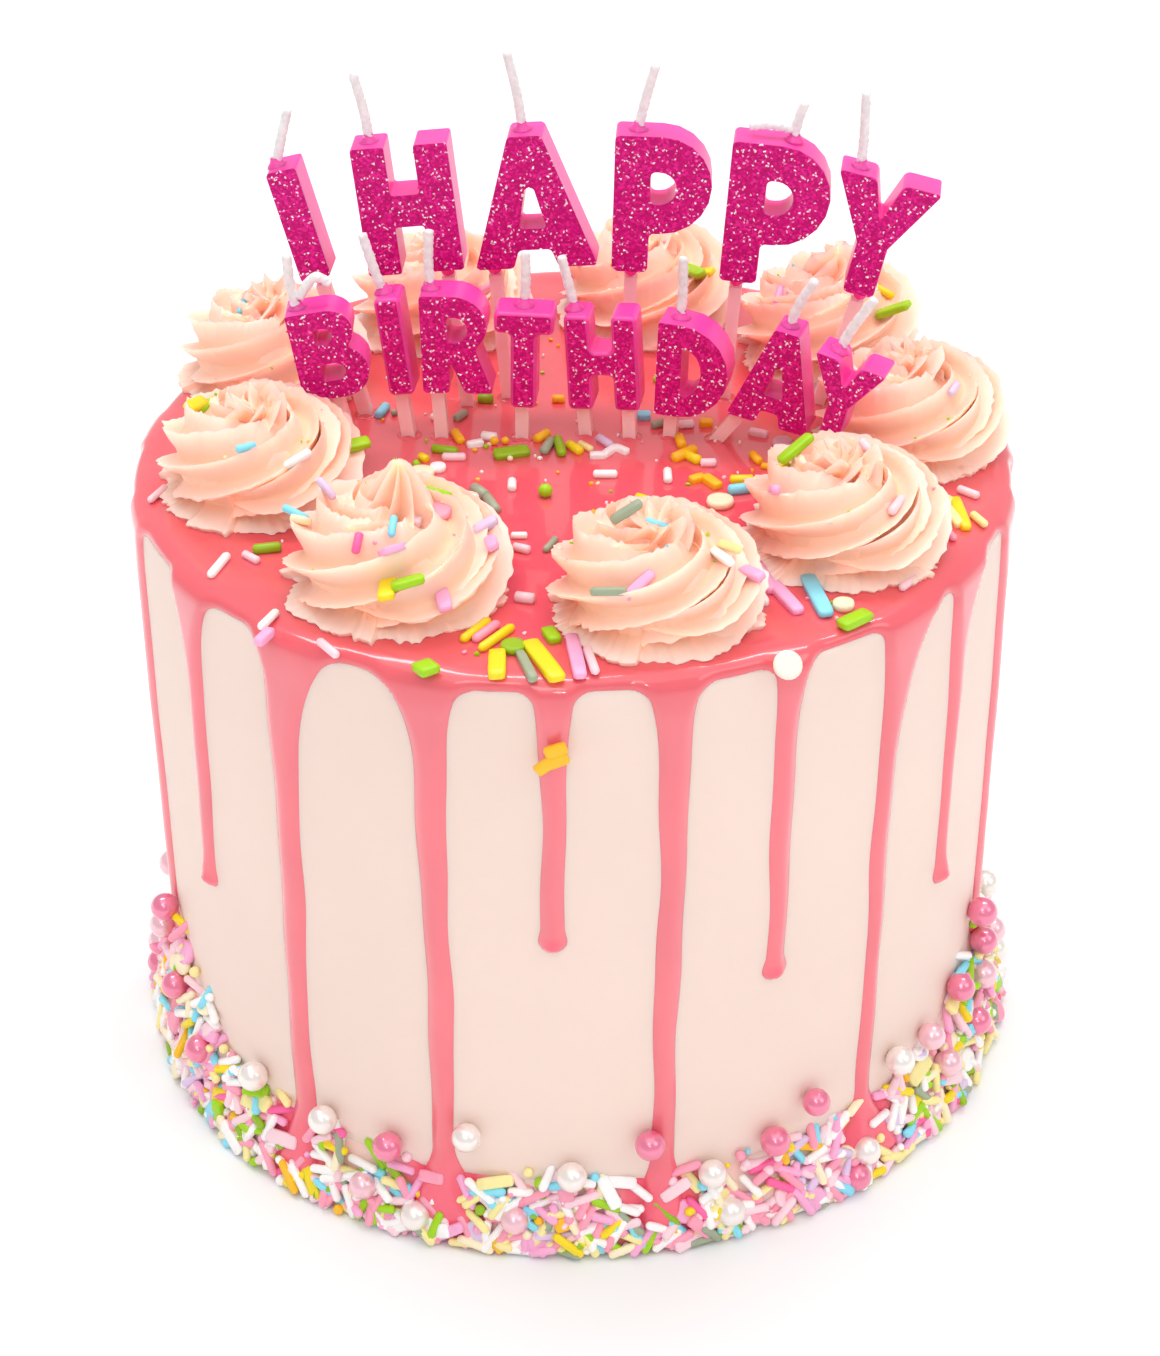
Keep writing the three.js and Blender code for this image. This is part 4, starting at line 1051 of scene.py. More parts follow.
def all_wicks(sizes):
    """A twisted cord for every strand of every wick; the first strand starts inside the wax."""
    material = shared_material(wick_material)
    for index, candle in enumerate(CANDLES):
        rng = np.random.default_rng(70 + index)
        place = candle_matrix(candle)
        parts = []
        for order, strand in enumerate(candle.strands):
            spots, lift = list(strand), 0.9
            if order == 0:
                sunk = 0.4
                spots.insert(0, (strand[0][0], strand[0][1] - sunk))
                lift = 0.3
            bottom = candle.height + lift
            route = [tuple(place @ Vector((x, bottom + y, -0.5 * CANDLE_DEPTH + 0.15 * rng.normal())))
                     for x, y in spots]
            parts.append(swept(route, sizes.wick_radius / MM, strands=3, pitch=3.4, fray=0.5, rng=rng))
        points, faces = merge_parts(parts)
        piece("wick_cord_" + candle.name, points, faces, material, "wick", replaces=["wick_" + candle.name])


def wax_collars(colours):
    """Small mounds of wax where the wicks come out of the letters."""
    columns = 20
    profile = [(1.9, -0.2), (1.75, 0.15), (1.35, 0.5), (1.0, 0.95), (0.86, 1.5)]
    upright = turned_points(profile, columns)[:, [0, 2, 1]] * (1, 1, -1)
    mound, faces = capped(upright, len(profile), columns, (0, profile[0][1], 0), (0, profile[-1][1], 0))
    parts = []
    for candle in CANDLES:
        place = candle_matrix(candle)
        x, y = candle.strands[0][0]
        foot = np.array((x, candle.height + y, -0.5 * CANDLE_DEPTH))
        parts.append(([tuple(place @ Vector(point)) for point in mound + foot], faces))
    points, faces = merge_parts(parts)
    piece("wick_collars", points, faces, shared_material(wax_material, colours), "wax")


def dress_picks(colours):
    """Gives the solid picks their plastic, and each a small raised ring of glaze at its foot."""
    material = shared_material(pick_material, colours)
    columns = 20
    profile = [(1.3, -0.6), (2.5, -0.5), (2.3, 0.03), (1.8, 0.14), (1.45, 0.3), (1.2, 0.45)]
    ring, faces = turned_points(profile, columns), ring_faces(len(profile), columns)
    tip_length = 1.5
    parts = []
    for name, made in frame["nodes"].items():
        if not name.startswith("pick_"):
            continue
        made.data.materials.clear()
        made.data.materials.append(material)
        points = np.array([tuple(made.matrix_world @ v.co) for v in made.data.vertices]) / MM
        height = points[:, 2]
        upper = points[height > height.max() - tip_length].mean(0)
        lower = points[height < height.min() + tip_length].mean(0)
        foot = lower + (upper - lower) * (GLAZE_TOP - lower[2]) / (upper[2] - lower[2])
        parts.append((ring + (foot[0], foot[1], GLAZE_TOP), faces))
    points, faces = merge_parts(parts)
    piece("pick_feet", points, faces, shared_material(glaze_material, colours), "glaze")


# Sprinkles: each kind is one piece, laid out as points that carry their turn, size and colour.

class Scatter:
    """Collects the places of the sprinkles of each kind."""

    def __init__(self):
        self.kinds = {}

    def add(self, kind, place, along, normal, size, colour):
        """A sprinkle at a place, its length along one direction and its flat side facing another."""
        forward = Vector(along).normalized()
        up = Vector(normal)
        up = (up - forward * up.dot(forward)).normalized()
        turn = Matrix((forward, up.cross(forward), up)).transposed()
        self.kinds.setdefault(kind, []).append((tuple(place), tuple(turn.to_euler()), tuple(size), colour))


def rod_shape(tree, given, half):
    """A ball drawn out along X, so that its two halves end a rod."""
    ball = node(tree, "GeometryNodeMeshUVSphere", {"Segments": 8, "Rings": 5, "Radius": half})
    laid = node(tree, "GeometryNodeTransform",
                {"Geometry": ball.outputs["Mesh"], "Rotation": (0, math.pi / 2, 0)})
    spot = node(tree, "GeometryNodeInputPosition")
    parts = node(tree, "ShaderNodeSeparateXYZ", {0: spot.outputs[0]})
    reach = computed(tree, "MULTIPLY", computed(tree, "SUBTRACT", given["Length"], given["Width"]), 0.5)
    push = computed(tree, "MULTIPLY", computed(tree, "SIGN", parts.outputs["X"]), reach)
    offset = node(tree, "ShaderNodeCombineXYZ", {"X": push})
    return node(tree, "GeometryNodeSetPosition", {"Geometry": laid.outputs[0], "Offset": offset.outputs[0]})


def bar_shape(tree, given):
    """A flat bar with slightly soft edges."""
    size = node(tree, "ShaderNodeCombineXYZ",
                {"X": given["Length"], "Y": given["Width"], "Z": given["Thickness"]})
    box = node(tree, "GeometryNodeMeshCube", {"Size": size.outputs[0]})
    return node(tree, "GeometryNodeSubdivisionSurface",
                {"Mesh": box.outputs["Mesh"], "Level": 2, "Edge Crease": 0.8})


def disc_shape(tree, given, half):
    """A ball pressed flat above and below, which leaves a disc with a round edge."""
    ball = node(tree, "GeometryNodeMeshUVSphere", {"Segments": 20, "Rings": 8, "Radius": half})
    spot = node(tree, "GeometryNodeInputPosition")
    parts = node(tree, "ShaderNodeSeparateXYZ", {0: spot.outputs[0]})
    high = computed(tree, "MULTIPLY", given["Thickness"], 0.5)
    low = computed(tree, "MULTIPLY", high, -1.0)
    height = node(tree, "ShaderNodeClamp", {"Value": parts.outputs["Z"], "Min": low, "Max": high})
    moved = node(tree, "ShaderNodeCombineXYZ",
                 {"X": parts.outputs["X"], "Y": parts.outputs["Y"], "Z": height.outputs[0]})
    return node(tree, "GeometryNodeSetPosition",
                {"Geometry": ball.outputs["Mesh"], "Position": moved.outputs[0]})


def sprinkle_tree(kind):
    """Puts one sugar shape on every point, turned, sized and coloured as the point says."""
    tree, given, result = new_group("Sugar " + kind, "GeometryNodeTree", (
        ("Geometry", "NodeSocketGeometry", None), ("Length", "NodeSocketFloat", 0.006),
        ("Width", "NodeSocketFloat", 0.0015), ("Thickness", "NodeSocketFloat", 0.0015),
        ("Material", "NodeSocketMaterial", None)), (("Geometry", "NodeSocketGeometry"),))
    half = computed(tree, "MULTIPLY", given["Width"], 0.5)
    if kind == "rods":
        shape = rod_shape(tree, given, half)
    elif kind == "bars":
        shape = bar_shape(tree, given)
    elif kind == "discs":
        shape = disc_shape(tree, given, half)
    else:
        shape = node(tree, "GeometryNodeMeshIcoSphere",
                     {"Radius": half, "Subdivisions": {"pearls": 4, "balls": 2, "crumbs": 1}[kind]})
    turn = node(tree, "GeometryNodeInputNamedAttribute", {"Name": "turn"}, data_type="FLOAT_VECTOR")
    rotation = node(tree, "FunctionNodeEulerToRotation", {0: turn.outputs[0]})
    size = node(tree, "GeometryNodeInputNamedAttribute", {"Name": "size"}, data_type="FLOAT_VECTOR")
    laid = node(tree, "GeometryNodeInstanceOnPoints",
                {"Points": given["Geometry"], "Instance": shape.outputs[0], "Rotation": rotation.outputs[0],
                 "Scale": size.outputs[0]})
    real = node(tree, "GeometryNodeRealizeInstances", {"Geometry": laid.outputs[0]})
    smooth = node(tree, "GeometryNodeSetShadeSmooth",
                  {"Geometry": real.outputs[0], "Shade Smooth": kind != "crumbs"})
    coated = node(tree, "GeometryNodeSetMaterial",
                  {"Geometry": smooth.outputs[0], "Material": given["Material"]})
    tree.links.new(coated.outputs[0], result["Geometry"])
    return tree


def scatter_piece(kind, spots, values):
    """Makes all the sprinkles of one kind as one piece."""
    places, turns, scales, tints = zip(*spots)
    mesh = bpy.data.meshes.new(kind)
    mesh.from_pydata([tuple(c * MM for c in place) for place in places], [], [])
    for label, data_type, field, rows in (("turn", "FLOAT_VECTOR", "vector", turns),
                                          ("size", "FLOAT_VECTOR", "vector", scales),
                                          ("tint", "FLOAT_COLOR", "color", tints)):
        layer = mesh.attributes.new(label, data_type, "POINT")
        layer.data.foreach_set(field, np.array(rows, np.float32).ravel())
    return grown_by_nodes("sugar_" + kind, mesh, sprinkle_tree(kind), values, "frosting")


def chosen(options, rng):
    """One of some colours by chance."""
    return linear(COLOURS[options[rng.integers(len(options))]])


# How many sprinkles of each kind lie in the heap at the foot, and their colours by share.
HEAP_COUNTS = {"rods": 1750, "bars": 150, "discs": 70, "balls": 330, "crumbs": 300}
HEAP_COLOURS = tuple(colour for colour, share in (
    ("white", 12), ("blush", 8), ("pink", 7), ("lemon", 5), ("orchid", 5), ("sky", 4), ("lime", 2),
    ("yellow", 2), ("cream", 2), ("green", 1), ("amber", 1), ("lilac", 1), ("moss", 1), ("hotpink", 1),
) for _ in range(share))
DISC_COLOURS = ("lilac", "pink", "cream", "blush", "orchid", "white")
# Azimuths between which green sprinkles gather.
GREEN_SPELL = (-140, -114)
# Pearls at the foot: azimuth, height, colour.
PEARLS = (
    (-136.9, 19.2, "white"), (-124.4, 18.6, "white"), (-110.7, 5.1, "white"), (-104, 24.4, "white"),
    (-90.9, 17.1, "white"), (-73.1, 14.5, "white"), (-50.7, 7.3, "white"), (-44, 22.4, "white"),
    (-114.7, 18, "pink"), (-81.2, 23.5, "pink"), (-64.6, 18.2, "pink"), (-58.7, 23.8, "pink"),
    (-52.7, 3.2, "pink"), (-163.4, 34, "pink"), (-149.7, 14.1, "pink"), (-21.4, 36, "pink"),
    (-19.6, 27.4, "pink"), (-20.5, 20.4, "blush"), (-28.8, 25.5, "pink"), (-36.9, 21.7, "blush"),
    (-168, 25, "blush"), (-158, 21, "pink"), (-118, 8, "blush"), (-98, 7.5, "blush"), (-71, 6, "white"),
    (-33, 12, "blush"), (-24, 13, "pink"), (-12, 22, "blush"),
)
BACK_PEARLS = 34


def band_top(azimuth):
    """Height of the heap at the foot: highest towards the left and right, a little in front."""
    from_front = abs((math.degrees(azimuth) + 270) % 360 - 180)
    return 14.5 + 15 * math.exp(-((from_front - 71) / 13) ** 2)


def heap_surface(azimuth, share):
    """Place and outward direction on the heap at the foot: share 0 is at the floor and 1 at its top."""
    height = share * band_top(azimuth)
    out = CAKE_RADIUS + 0.7 + 4.6 * max(1 - share, 0) ** 0.8
    tip = math.radians(18 + 20 * min(share, 1))
    radial = Vector((math.cos(azimuth), math.sin(azimuth), 0))
    outwards = radial * math.cos(tip) + Vector((0, 0, math.sin(tip)))
    return Vector((out * radial.x, out * radial.y, height)), outwards


def drip_foot_distance(azimuth):
    """How far it is along the foot to the nearest drip that runs out there."""
    return min(abs(arc_from(azimuth, drip.finish)) for drip in DRIPS if drip.end == 0)


def heap_size(kind, steep, upright, rng):
    """A sprinkle's size as shares of the usual, and the lowest that its middle may lie: a rod or bar by how
    steep it lies, a disc by how upright it stands."""
    if kind == "rods":
        size = (rng.uniform(0.75, 1.2), 1, 1)
        return size, 0.9 + 3.0 * steep * size[0]
    if kind == "bars":
        size = (rng.uniform(0.65, 1.0), rng.uniform(0.7, 1.0), 1)
        return size, 1.1 + 3.6 * steep * size[0]
    if kind == "discs":
        return (rng.uniform(0.85, 1.05),) * 3, 0.2 + 2.6 * upright
    if kind == "crumbs":
        return tuple(rng.uniform(0.7, 1.25) for _ in range(3)), 0.9
    return (rng.uniform(0.8, 1.2),) * 3, 0.9


def scatter_heap(scatter, rng):
    """Piles the sprinkles up at the foot, fewer where a drip runs out."""
    off_floor, bare_reach = 0.25, 5.5
    for kind, count in HEAP_COUNTS.items():
        for _ in range(count):
            azimuth = rng.uniform(-math.pi, math.pi)
            share = rng.beta(1.0, 1.35) * 1.02 if rng.random() > 0.06 else rng.uniform(0.9, 1.12)
            if share > 0.2 and rng.random() < 0.75 and drip_foot_distance(azimuth) < bare_reach:
                continue
            place, normal = heap_surface(azimuth, share)
            around = Vector((-math.sin(azimuth), math.cos(azimuth), 0))
            downwards = normal.cross(around)
            turn = rng.normal(0, 0.85)
            along = around * math.cos(turn) + downwards * math.sin(turn) + normal * rng.normal(0, 0.22)
            place += normal * rng.uniform(-0.9, 0.5)
            colour = chosen(HEAP_COLOURS, rng)
            if GREEN_SPELL[0] < math.degrees(azimuth) < GREEN_SPELL[1] and rng.random() < 0.12:
                colour = chosen(("lime", "green"), rng)
            upright = math.sqrt(max(1 - normal.z ** 2, 0))
            size, lowest = heap_size(kind, abs(along.normalized().z), upright, rng)
            if kind == "discs":
                colour = chosen(DISC_COLOURS, rng)
            place.z = max(place.z, lowest + off_floor)
            scatter.add(kind, place, along, normal, size, colour)


def scatter_pearls(scatter, rng):
    """Lays the pearls on the heap, one by one at the front and sides and by chance at the back."""
    at_back = tuple((rng.uniform(-5, 185), rng.uniform(4, 24), ("white", "pink", "blush")[rng.integers(3)])
                    for _ in range(BACK_PEARLS))
    tints = {"white": "pearl", "blush": "pearl_blush", "pink": "pearl_pink"}
    for azimuth, height, colour in PEARLS + at_back:
        angle = math.radians(azimuth)
        outwards = (math.cos(angle), math.sin(angle), 0)
        out = CAKE_RADIUS + 2.7 + 2.9 * max(1 - height / band_top(angle), 0)
        place = (out * outwards[0], out * outwards[1], max(height, 3.0))
        scatter.add("pearls", place, (0, 0, 1), outwards, (rng.uniform(0.93, 1.05),) * 3,
                    linear(COLOURS[tints[colour]]))


# Sprinkles on the glaze: kind, both ends' x and y, colour, and width as a share of the usual.
GLAZE_BITS = (
    # At the front rim.
    ("bars", -12.5, -71.5, -12.5, -79.5, "yellow", 1.0), ("bars", -7.5, -68.5, -2.5, -80.5, "yellow", 1.05),
    ("bars", -25.5, -77.5, -22.5, -75.5, "lime", 1.3), ("bars", 44, -64.5, 49, -60.5, "lime", 1.0),
    ("bars", 39.5, -48, 42, -61, "sky", 0.95), ("bars", 31, -43.5, 33.5, -53, "orchid", 0.8),
    ("bars", 33.5, -50, 37.5, -60, "orchid", 0.8), ("bars", 29.5, -47.5, 32, -57, "white", 0.6),
    ("bars", -0.5, -66.5, 1, -79.5, "orchid", 0.8), ("bars", -9, -71.5, -6.5, -80, "moss", 0.55),
    ("rods", 3.5, -78.5, 2, -70.5, "blush", 1.0), ("bars", -4.5, -64.5, -3, -68.5, "lime", 0.8),
    ("rods", -18.5, -68, -14, -61.5, "yellow", 1.0), ("rods", -15.5, -71, -10, -63.5, "yellow", 1.0),
    ("rods", -16.5, -68, -12.5, -62.5, "pink", 1.0), ("rods", -10, -54, -6.5, -55, "blush", 1.2),
    ("rods", -10.5, -37, -7.5, -38.5, "blush", 1.0), ("rods", -11, -33, -8, -33, "white", 0.8),
    ("rods", -5, -38.5, -3, -34, "moss", 0.8), ("rods", 55, -52.5, 58.5, -48, "blush", 0.9),
    # At the left and right.
    ("rods", -55.5, -37.5, -50.5, -36.5, "green", 1.2), ("rods", -62, -46.5, -59.5, -39, "white", 1.0),
    ("rods", -52, -63.5, -49.5, -58, "white", 0.9), ("bars", -52, -68, -50, -64, "orchid", 0.6),
    ("rods", -57, -38.5, -54, -41.5, "blush", 0.9), ("rods", -48.5, -29.5, -45, -33.5, "sky", 0.9),
    ("rods", -45, -27.5, -39.5, -27, "white", 0.9), ("rods", -75.5, -19.5, -73, -14, "blush", 0.8),
    ("rods", -38.5, -72.5, -42, -67.5, "blush", 0.9), ("bars", 67.5, -21, 68.5, -32, "yellow", 0.7),
    ("bars", 65.5, -24, 67.5, -31, "lemon", 0.7), ("rods", 68.5, -17.5, 72, -20.5, "blush", 1.0),
    ("rods", 70, -26.5, 72, -31, "lemon", 0.9), ("rods", 64, -30, 66, -36, "pink", 0.9),
    # Between the rosettes and the candles.
    ("rods", -28, -3.5, -26.5, -5, "yellow", 1.0), ("rods", -27, -18, -22, -17.5, "lime", 1.3),
    ("rods", -32, -6.5, -29.5, -8, "orchid", 1.0), ("rods", -21.5, -17, -20, -16, "yellow", 0.8),
    ("bars", -19, -18.5, -17, -18.5, "blush", 0.4), ("rods", -18, -15.5, -15.5, -19, "moss", 1.3),
    ("rods", -15.5, -19, -13.5, -24.5, "moss", 1.2), ("rods", -26, -0.5, -21, -2, "green", 1.1),
    ("rods", -24, -4, -19.5, -4, "blush", 1.0), ("bars", -19.5, 1, -16.5, 2, "white", 0.5),
    ("rods", -17, 4.5, -14, 3.5, "white", 1.1), ("bars", -14.5, -3.5, -8, -1.5, "green", 0.9),
    ("rods", -11, -13, -11, -16.5, "white", 1.0), ("rods", 3.5, -11, 8, -11, "white", 1.0),
    ("rods", -7, 2.5, -4.5, 5.5, "amber", 1.1), ("rods", -5.5, -2.5, -4, 2.5, "moss", 1.1),
    ("rods", -3, 3.5, -2, -3.5, "green", 1.1), ("rods", -1, 1, 1.5, -2.5, "yellow", 1.1),
    ("rods", 1, 1.5, 3.5, -1.5, "lemon", 0.8), ("rods", 4.5, 3.5, 7, 0, "lilac", 1.0),
    ("bars", 3, -3.5, 6, -3.5, "white", 0.5), ("bars", 5.5, -3.5, 8, 0, "white", 0.5),
    ("bars", 7.5, 0, 10, -2.5, "white", 0.5), ("rods", -22, 6, -20.5, 2, "amber", 1.1),
    ("rods", -22, 11, -20, 14, "moss", 1.0), ("rods", -36.5, 12.5, -35, 17, "sky", 1.1),
    ("rods", -18, 19.5, -15, 19, "green", 1.3), ("rods", -4, 19, -1.5, 19, "amber", 1.0),
    ("bars", 12, 12, 14.5, 12, "sky", 0.7), ("rods", 14.5, 8, 17, 9, "moss", 1.0),
    ("rods", 19.5, 8, 22.5, 8.5, "white", 1.0), ("bars", 23.5, 9, 26, 9, "amber", 0.6),
    ("rods", 19.5, 3.5, 20, -0.5, "amber", 1.2), ("rods", 18, -5.5, 22.5, -1.5, "amber", 1.3),
    ("rods", 20, -3, 23, -6.5, "yellow", 1.2), ("rods", 23, -7, 26, -7, "blush", 1.0),
    ("bars", 21, -13.5, 23.5, -12, "amber", 0.6), ("bars", 23.5, -12, 26, -16, "amber", 0.7),
    ("rods", 17, -9.5, 17, -14, "white", 1.0), ("rods", 28, -13.5, 32.5, -13.5, "yellow", 1.1),
    ("rods", 27.5, -17.5, 32.5, -16.5, "sky", 1.3), ("rods", 11, -19.5, 14, -21.5, "yellow", 1.0),
    ("rods", 32.5, -3.5, 34, -7, "amber", 1.0), ("rods", 34, -8, 36.5, -9, "amber", 0.8),
    ("bars", 32.5, 5.5, 36, 4, "blush", 0.5), ("rods", 22.5, -25, 25, -27.5, "amber", 0.9),
    # At the back.
    ("rods", -38, 74, -33, 75, "yellow", 1.0), ("rods", 32, 70, 36, 73, "pink", 1.0),
    ("rods", 74.5, 22, 75.0, 27, "blush", 1.0), ("rods", -2, 76, 3, 77, "sky", 1.0),
    ("bars", 16, 26, 20, 31, "lime", 0.8), ("rods", -22, 26, -17, 29, "orchid", 1.0),
    ("rods", 2, 31, 7, 33, "white", 1.0),
)
# Discs and balls on the glaze: x, y, colour, and width as a share of the usual.
GLAZE_DISCS = (
    (-27.5, -10, "cream", 1.0), (26, -21.5, "cream", 1.0), (45, -57.5, "cream", 0.75),
    (-10, -70, "green", 0.85), (47, 22, "mauve", 1.0), (38.5, 0.5, "mauve", 0.8), (-24.5, -8, "white", 0.6),
    (65.5, -22, "lemon", 0.7),
)
GLAZE_BALLS = (
    (-5, -18, "lime", 1.4), (-28.5, -6.5, "lime", 0.8), (-14.5, 2, "amber", 0.9), (-12.5, 2.2, "amber", 0.8),
    (-11.5, -4.5, "cream", 0.6), (-26, 12, "white", 0.8), (-33.5, 14, "moss", 0.7), (24, -21, "yellow", 0.5),
)
# Short amber bars on a drip at the front: azimuth, height, turn.
SIDE_BARS = ((-92.2, 108.2, 20), (-93.4, 105.2, 40), (-92.0, 106.2, 25))


def scatter_top(scatter, rng, rod_length):
    """Lays the single sprinkles on the glaze, from one end to the other, with crumbs between them."""
    usual_length = {"rods": rod_length, "bars": BAR_LENGTH}
    half_thickness = {"rods": 0.75, "bars": 0.8}
    for kind, x0, y0, x1, y1, colour, width in GLAZE_BITS:
        size = (math.hypot(x1 - x0, y1 - y0) / usual_length[kind], width, 1 if kind == "bars" else width)
        place = ((x0 + x1) / 2, (y0 + y1) / 2, GLAZE_TOP + half_thickness[kind] * min(width, 1) * 0.8)
        tip = rng.normal(0, 0.05)
        scatter.add(kind, place, (x1 - x0, y1 - y0, tip), (rng.normal(0, 0.08), rng.normal(0, 0.08), 1), size,
                    linear(COLOURS[colour]))
    for x, y, colour, width in GLAZE_DISCS:
        scatter.add("discs", (x, y, GLAZE_TOP + 0.55), (1, 0, 0), (rng.normal(0, 0.06), 0.05, 1),
                    (width, width, 1), linear(COLOURS[colour]))
    for x, y, colour, width in GLAZE_BALLS:
        scatter.add("balls", (x, y, GLAZE_TOP + 0.8 * width), (1, 0, 0), (0, 0, 1), (width, width, width),
                    linear(COLOURS[colour]))
    on_rim = Vector((34.6, -75.2, GLAZE_TOP - 0.2))
    scatter.add("discs", on_rim, (1, 0.3, 0), (0.45, -0.75, 0.75), (1, 1, 1), linear(COLOURS["ivory"]))
    for azimuth, height, turn in SIDE_BARS:
        angle, tilt = math.radians(azimuth), math.radians(turn)
        outwards = Vector((math.cos(angle), math.sin(angle), 0))
        around = Vector((-math.sin(angle), math.cos(angle), 0))
        place = outwards * (CAKE_RADIUS + 2.3)
        place.z = height
        scatter.add("bars", place, around * math.cos(tilt) + Vector((0, 0, math.sin(tilt))), outwards,
                    (0.52, 0.75, 0.7), linear(COLOURS["amber"]))
    top_reach, clear, count = 76, 0.8, 230
    for _ in range(count):
        radius, azimuth = top_reach * math.sqrt(rng.random()), rng.uniform(0, TAU)
        x, y = radius * math.cos(azimuth), radius * math.sin(azimuth)
        if any(math.hypot(x - other.x, y - other.y) < other.radius + clear for other in ROSETTES):
            continue
        colour = chosen(("cream", "blush", "white", "amber", "pink", "lime"), rng)
        size = tuple(rng.uniform(0.35, 0.9) for _ in range(3))
        along = (rng.normal(), rng.normal(), 0)
        scatter.add("crumbs", (x, y, GLAZE_TOP + 0.2), along, (0, 0, 1), size, colour)


# Sprinkles on the rosettes: kind, offset from the middle, turn, length, width, colour.
ROSETTE_BITS = {
    "rosette_left_front": (
        ("rods", -12, 8.5, -27, 0.75, 0.9, "lilac"), ("rods", -17, 6, -20, 0.8, 0.9, "sky"),
        ("rods", -16, 4, 10, 0.6, 0.9, "cream"), ("bars", 7, 5, 5, 0.75, 0.8, "lime"),
        ("discs", 8, 2, 20, 1, 1, "pink"), ("rods", 0.5, -8.5, 90, 0.7, 0.8, "sky"),
        ("rods", -5, -11, 80, 0.6, 0.9, "hotpink"), ("bars", 1, -14, 45, 0.6, 1, "orchid"),
        ("bars", 4, -1.5, 80, 0.4, 0.7, "blush"), ("bars", 16, 0.5, 10, 0.6, 0.7, "lilac"),
        ("bars", 17, -4.5, 100, 0.5, 0.7, "orchid"), ("bars", 0, -16, 88, 1, 1, "yellow"),
        ("bars", 3.5, -17, 8, 0.75, 0.95, "lime"), ("bars", 9, -15.5, 100, 0.8, 0.8, "orchid"),
    ),
    "rosette_left": (
        ("bars", -9.5, 8.5, 60, 0.95, 0.8, "lime"), ("bars", -11.5, 6, 62, 0.9, 0.8, "yellow"),
        ("bars", 17.5, 2.5, 20, 0.7, 0.9, "lime"), ("rods", 9, -13.5, 5, 0.85, 1, "white"),
        ("rods", 0, -14, 30, 0.6, 0.9, "sky"),
    ),
    "rosette_left_back": (
        ("rods", -4.5, 0, 75, 0.8, 0.8, "sky"), ("rods", 5, -2, 60, 0.6, 0.9, "pink"),
    ),
    "rosette_front": (
        ("bars", -4, -3, 5, 0.8, 0.6, "moss"), ("rods", 0.5, -0.5, -10, 0.8, 1, "sky"),
        ("bars", -2.5, -12, 50, 0.85, 0.6, "orchid"), ("bars", -7.5, -14.5, 175, 0.8, 0.6, "moss"),
        ("bars", 11.5, -6, -62, 1, 0.5, "white"), ("bars", 13, -4, -48, 1, 0.5, "lemon"),
        ("bars", 16, -4, -50, 0.9, 0.7, "orchid"),
    ),
    "rosette_right_front": (
        ("bars", -7.5, 5, 25, 1, 0.9, "lime"), ("bars", -10, 4, 50, 0.5, 0.7, "yellow"),
        ("rods", -12.5, -6.5, 82, 1, 1.1, "orchid"), ("rods", 8, -8, 65, 0.9, 1, "blush"),
        ("rods", 4, 2.5, -40, 0.7, 0.9, "blush"),
    ),
    "rosette_right_back": (
        ("bars", 11.5, -10.5, -25, 1, 0.9, "lime"), ("rods", 10, -2, -20, 0.9, 0.9, "yellow"),
        ("rods", -10, -4, 60, 0.9, 0.9, "orchid"),
    ),
    "rosette_right": (
        ("rods", -4.5, 9.5, 30, 0.7, 0.8, "blush"), ("rods", 6.5, -8.5, 70, 0.6, 0.8, "lilac"),
    ),
    "rosette_back": (
        ("bars", 9.5, -9.5, -60, 1, 0.8, "lime"), ("bars", 11.5, -8, -40, 0.8, 0.8, "yellow"),
        ("rods", -12.5, -6.5, 40, 0.9, 1, "blush"),
    ),
    "rosette_back_left": (
        ("rods", 11, -9, 30, 0.9, 1, "pink"), ("rods", -8, -9, 80, 0.8, 1, "blush"),
    ),
}


def scatter_rosettes(scatter, rng):
    """Drops the single sprinkles on the rosettes, and crumbs over all of them."""
    graph = bpy.context.evaluated_depsgraph_get()
    trees = {rosette.name: BVHTree.FromObject(bpy.data.objects[rosette.name + "_piping"], graph)
             for rosette in ROSETTES}
    middles = {rosette.name: (rosette.x, rosette.y) for rosette in ROSETTES}
    from_height = 0.2

    def settle(name, x, y):
        """Place and direction of the surface below an offset from a rosette's middle."""
        x, y = middles[name][0] + x, middles[name][1] + y
        hit, normal, _, _ = trees[name].ray_cast(Vector((x * MM, y * MM, from_height)), Vector((0, 0, -1)))
        if hit is None:
            return Vector((x, y, GLAZE_TOP)), Vector((0, 0, 1))
        return hit / MM, normal

    for name, bits in ROSETTE_BITS.items():
        for kind, x, y, turn, length, width, colour in bits:
            place, normal = settle(name, x, y)
            along = Vector((math.cos(math.radians(turn)), math.sin(math.radians(turn)), 0))
            leaning = (normal + Vector((0, 0, 0.7))).normalized()
            scatter.add(kind, place + leaning * 0.8, along - leaning * along.dot(leaning), leaning,
                        (length, width, width if kind == "rods" else 0.9), linear(COLOURS[colour]))
    for rosette in ROSETTES:
        for _ in range(16):
            reach, azimuth = 0.9 * rosette.radius * math.sqrt(rng.random()), rng.uniform(0, TAU)
            place, normal = settle(rosette.name, reach * math.cos(azimuth), reach * math.sin(azimuth))
            colour = chosen(("sky", "blush", "amber", "cream", "lime", "pink"), rng)
            scatter.add("crumbs", place, (1, rng.normal(), 0), normal, (rng.uniform(0.25, 0.7),) * 3, colour)


